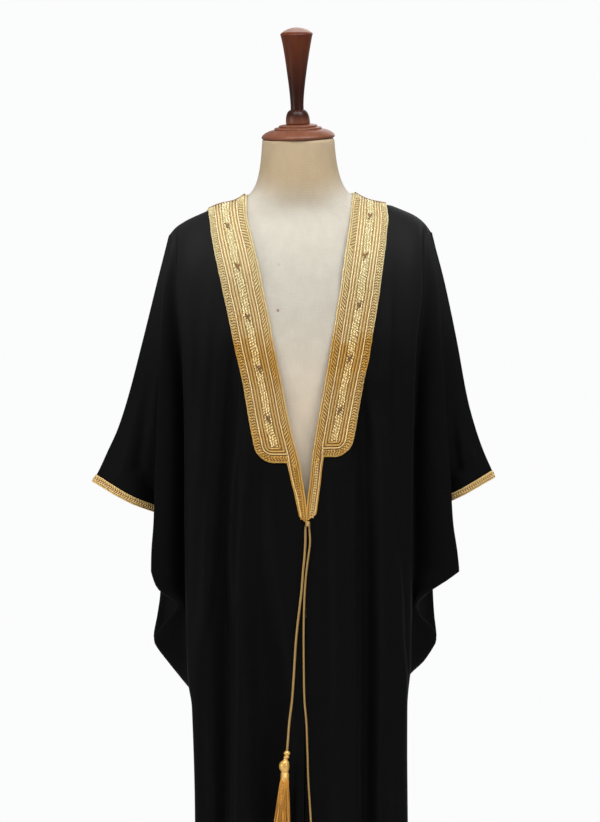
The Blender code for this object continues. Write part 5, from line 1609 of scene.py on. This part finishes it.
# The cords, their knot and their tassels.
CORDS = {
    "right": table("x z", """
        9.4 955.5, 8.8 931, 7.4 907, 5 882, 2.5 850, -3.4 799, -6.7 766, -10.9 699.5, -13.4 666, -17.6 633,
        -20.2 600, -21.4 586
    """),
    "left": table("x z", """
        15 955.5, 16.6 931, 13.8 907, 10.6 882, 7.9 850, 6.2 799, 6.2 732, 7.6 665, 10.4 633, 12.2 583,
        13.8 533, 16 499, 18 466, 18.4 435, 18.2 405
    """),
}
KNOT_AT = (0.0128, 0.9568)
KNOT_RADIUS = 0.0040
# How far beside the knot's middle each cord leaves it.
CORD_ASIDE = {"right": -0.0024, "left": 0.0022}
CORD_DIAMETER = {"right": 0.0042, "left": 0.0036}
CORD_SIDES = 12
# A ply's turns along the cord.
CORD_PITCH = 0.0105
# Over this height above its end a cord comes away from the cloth with its tassel.
CORD_LEAVES_CLOTH = 0.110
CORD_LIFT = 0.0007
# How far a tassel reaches to its sides, and how long its skirt and its head are.
TASSEL_REACH = 0.0140
TASSEL_SKIRT = 0.082
TASSEL_HEAD_LENGTH = 0.050
TASSEL_THREADS = 230
# The skirt's radius at its top and at its foot, and a thread's own.
SKIRT_TOP = 0.0062
SKIRT_FOOT = 0.0138
THREAD_RADIUS = 0.00050
THREAD_SIDES = 5
THREAD_RINGS = 11
SKIRT_TURN = {"right": 0.7, "left": 2.1}
TASSEL_HANG = table("drop x", "0 0, 8 -0.4, 17 -3, 26 -4.8, 42 -3.6, 60 -5, 130 -8")
CORD_IN_TASSEL = 0.066


def make_front_tree(pieces):
    """A tree of the fronts and their bands, to lay the cords on."""
    points, faces, start = [], [], 0
    for piece in pieces:
        mesh = piece.data
        points += [v.co.copy() for v in mesh.vertices]
        faces += [tuple(start + v for v in f.vertices) for f in mesh.polygons]
        start = len(points)
    return BVHTree.FromPolygons(points, faces)


def front_y(tree, x, z):
    """Where the fronts stand there, or a usual depth where there is nothing."""
    hit = tree.ray_cast(Vector((x, -0.4, z)), Vector((0, 1, 0)))[0]
    return hit.y if hit else -0.13


def cord_path(side, tree, start):
    """A cord's line: down its route on the cloth. Near its end it comes away with its tassel."""
    route, radius = CORDS[side], CORD_DIAMETER[side] / 2
    end_x, end_z = route["x"][-1], route["z"][-1]
    below = [
        front_y(tree, end_x + dx, end_z - drop)
        for dx in (-TASSEL_REACH, 0, TASSEL_REACH)
        for drop in np.linspace(0, TASSEL_HEAD_LENGTH + TASSEL_SKIRT, 8)
    ]
    end_y = min(below) - TASSEL_REACH - 0.0003
    points = [start]
    for x, z in zip(route["x"], route["z"]):
        near = [front_y(tree, x + dx, z + dz) for dx in (-0.003, 0, 0.003) for dz in (-0.010, 0, 0.010)]
        on_cloth = min(near) - radius - CORD_LIFT
        away = smooth_step(1 - (z - end_z) / CORD_LEAVES_CLOTH)
        points.append((x, on_cloth + (end_y - on_cloth) * away, z))
    return resample(through(points, [even(12)] * (len(points) - 1)), 0.0010)


def make_cord(side, path):
    """Two plies laid round each other."""
    radius, sides = CORD_DIAMETER[side] / 2, CORD_SIDES
    way = unit(np.gradient(path, axis=0))
    first = unit(np.cross(way, (0, 1.0, 0)))
    second = np.cross(way, first)
    run = run_length(path)
    turn = np.arange(sides) * 2 * math.pi / sides
    phase = turn[None] - (run * 2 * math.pi / CORD_PITCH)[:, None]
    size = radius * (0.74 + 0.26 * np.abs(np.cos(phase))) * (1 + RANDOM.normal(size=(len(path), 1)) * 0.012)
    size[-1] *= 0.6
    to_first, to_second = (size * np.cos(turn))[..., None], (size * np.sin(turn))[..., None]
    points = (path[:, None] + first[:, None] * to_first + second[:, None] * to_second).reshape(-1, 3)
    faces = facing_out(points, tube_faces(len(path), sides)[:, [0, 3, 2, 1]])
    around = np.minimum(turn, 2 * math.pi - turn) * radius
    uvs = np.stack(np.broadcast_arrays(run[:, None], around[None]), axis=-1).reshape(-1, 2)
    ends = [tuple(range(sides)), tuple(range((len(path) - 1) * sides, len(path) * sides))[::-1]]
    return make_piece("cord_" + side + "_twisted", points, faces.tolist() + ends, SILK,
                      ["cord_" + side], uvs=uvs)


def turned_head(name, x, y, top, profile, segments, material, node):
    """A turned head under a cord's end: its profile is of radius and drop below the top."""
    piece = turn_piece(name, rounded(profile, 4, up=-1), segments, material, [node])
    piece.data.transform(Matrix.Translation((x, y, top)))
    return piece


def tassel_hang(drop):
    """How far to its side a tassel hangs at a drop below its cord's end."""
    return read_column(TASSEL_HANG["drop"], TASSEL_HANG["x"], drop)


def make_threads(name, node, end, seed_turn):
    """The tassel's skirt: threads that fall from under the head and spread a little."""
    golden = math.pi * (3 - math.sqrt(5))
    top_z = end[2] - TASSEL_HEAD_LENGTH + 0.004
    sides, rings = THREAD_SIDES, THREAD_RINGS
    shares = np.linspace(0, 1, rings)
    turn = np.arange(sides) * 2 * math.pi / sides
    ring = np.stack([np.cos(turn), np.sin(turn), np.zeros(sides)], axis=1)
    quads = tube_faces(rings, sides)
    points, faces, uvs = [], [], []
    for i in range(TASSEL_THREADS):
        way = i * golden + seed_turn
        out = math.sqrt((i + 0.5) / TASSEL_THREADS)
        spread = SKIRT_TOP + (SKIRT_FOOT - SKIRT_TOP) * shares**0.8 * (0.94 + 0.06 * math.sin(3 * way + 1))
        drift = RANDOM.normal(size=2) * 0.0006
        radial = out * spread
        sway = np.sin(shares * RANDOM.uniform(2, 5) + RANDOM.uniform(0, 6)) * 0.0005 * shares
        x = end[0] + np.cos(way) * radial + drift[0] * shares + sway
        y = end[1] + np.sin(way) * radial + drift[1] * shares
        length = (TASSEL_SKIRT + 0.002) * (0.955 + 0.045 * RANDOM.uniform())
        z = top_z - length * shares
        x += tassel_hang(end[2] - z)
        size = THREAD_RADIUS * (1 - 0.25 * shares) * RANDOM.uniform(0.85, 1.15)
        centre = np.stack([x, y, z], axis=1)
        start = i * rings * sides
        points.append((centre[:, None] + ring[None] * size[:, None, None]).reshape(-1, 3))
        faces += (quads + start).tolist()
        faces.append(tuple(start + (rings - 1) * sides + j for j in range(sides)[::-1]))
        faces.append(tuple(start + j for j in range(sides)))
        flat = np.stack(np.broadcast_arrays((shares * length)[:, None], (turn * THREAD_RADIUS)[None]), axis=-1)
        uvs.append(flat.reshape(-1, 2) + RANDOM.uniform(0, 0.3))
    return make_piece(name, np.concatenate(points), faces, THREAD, [node], uvs=np.concatenate(uvs))


def make_tassel(side, end):
    """The wrapped head and the threads under a cord's end."""
    node = "tassel_" + side
    head = turned_head(node + "_head", end[0], end[1], end[2] - 0.0003, """
        2 50, 5 50, 6 49 | 6.2 48.2, 6.9 47.6, 6.7 46.4 | 6.7 46.2, 7.2 45.2, 6.7 44.1 | 6.7 44, 7.3 42.9,
        6.7 41.8 | 6.7 41.7, 7.3 40.6, 6.6 39.5 | 6.5 39.4, 7 38.4, 6.4 37.3, 5.8 35.8 | 6 35, 7.1 33,
        8.2 29.6, 8.6 25.8, 8.1 22, 6.7 18.8, 4.6 16.8, 3.6 15.8, 3.4 14.2 | 3.5 13.4, 4.3 12.4, 4.6 11,
        4.3 9.6, 3.5 8.6 | 3.5 7.8, 4.8 6.6, 5.2 4.8, 4.7 2.8, 3.2 1.2, 2 0.4
    """, 28, HEAD, node)
    for vertex in head.data.vertices:
        vertex.co.x += tassel_hang(end[2] - vertex.co.z)
    return [head, make_threads(node + "_threads", node, end, SKIRT_TURN[side])]


def make_cords():
    """The knot at the closing, and from it both cords with their tassels."""
    bands = BANDS["right"] + BANDS["left"]
    laid_on = [piece for piece in bands if piece.name.endswith(("ground", "cording", "piping"))]
    tree = make_front_tree([CLOTHS["front_right"], CLOTHS["front_left"]] + laid_on)
    (x, bottom), radius = KNOT_AT, KNOT_RADIUS
    face = min(front_y(tree, x + dx, bottom + dz) for dx in (-radius, 0, radius) for dz in (0, 0.004, 0.008))
    y = face - radius - 0.0002
    turned_head("knot_wraps", x, y, bottom, """
        1.6 0, 3 -0.3 | 3.2 -0.4, 4 -1.7, 3.4 -3 | 3.4 -3.1, 4.2 -4.5, 3.5 -5.9 | 3.4 -6, 3.7 -7.1, 2.8 -8.2,
        1 -8.6
    """, 24, SILK, "knot")
    for side in ("right", "left"):
        start = (x + CORD_ASIDE[side], y, bottom + 0.0016)
        path = cord_path(side, tree, start)
        tassel = make_tassel(side, path[-1])
        # The cord runs on through the tassel's head, into its threads.
        drop = np.arange(0.001, CORD_IN_TASSEL, 0.001)
        inside = path[-1] + np.stack([tassel_hang(drop), 0 * drop, -drop], axis=1)
        path = np.concatenate([path, inside])
        piece = make_cord(side, path)
        length = float(run_length(path)[-1])


camera_and_light()
make_floor()
FORM, FORM_TREE = make_dress_form()
make_stand()
CLOTHS, GRIDS = make_cloth(FORM_TREE)
BANDS = {side: make_front_band(side) for side in ("right", "left")}
NECK_BAND = make_neck_band()
CUFFS = {side: make_cuff(side) for side in ("right", "left")}
make_cords()
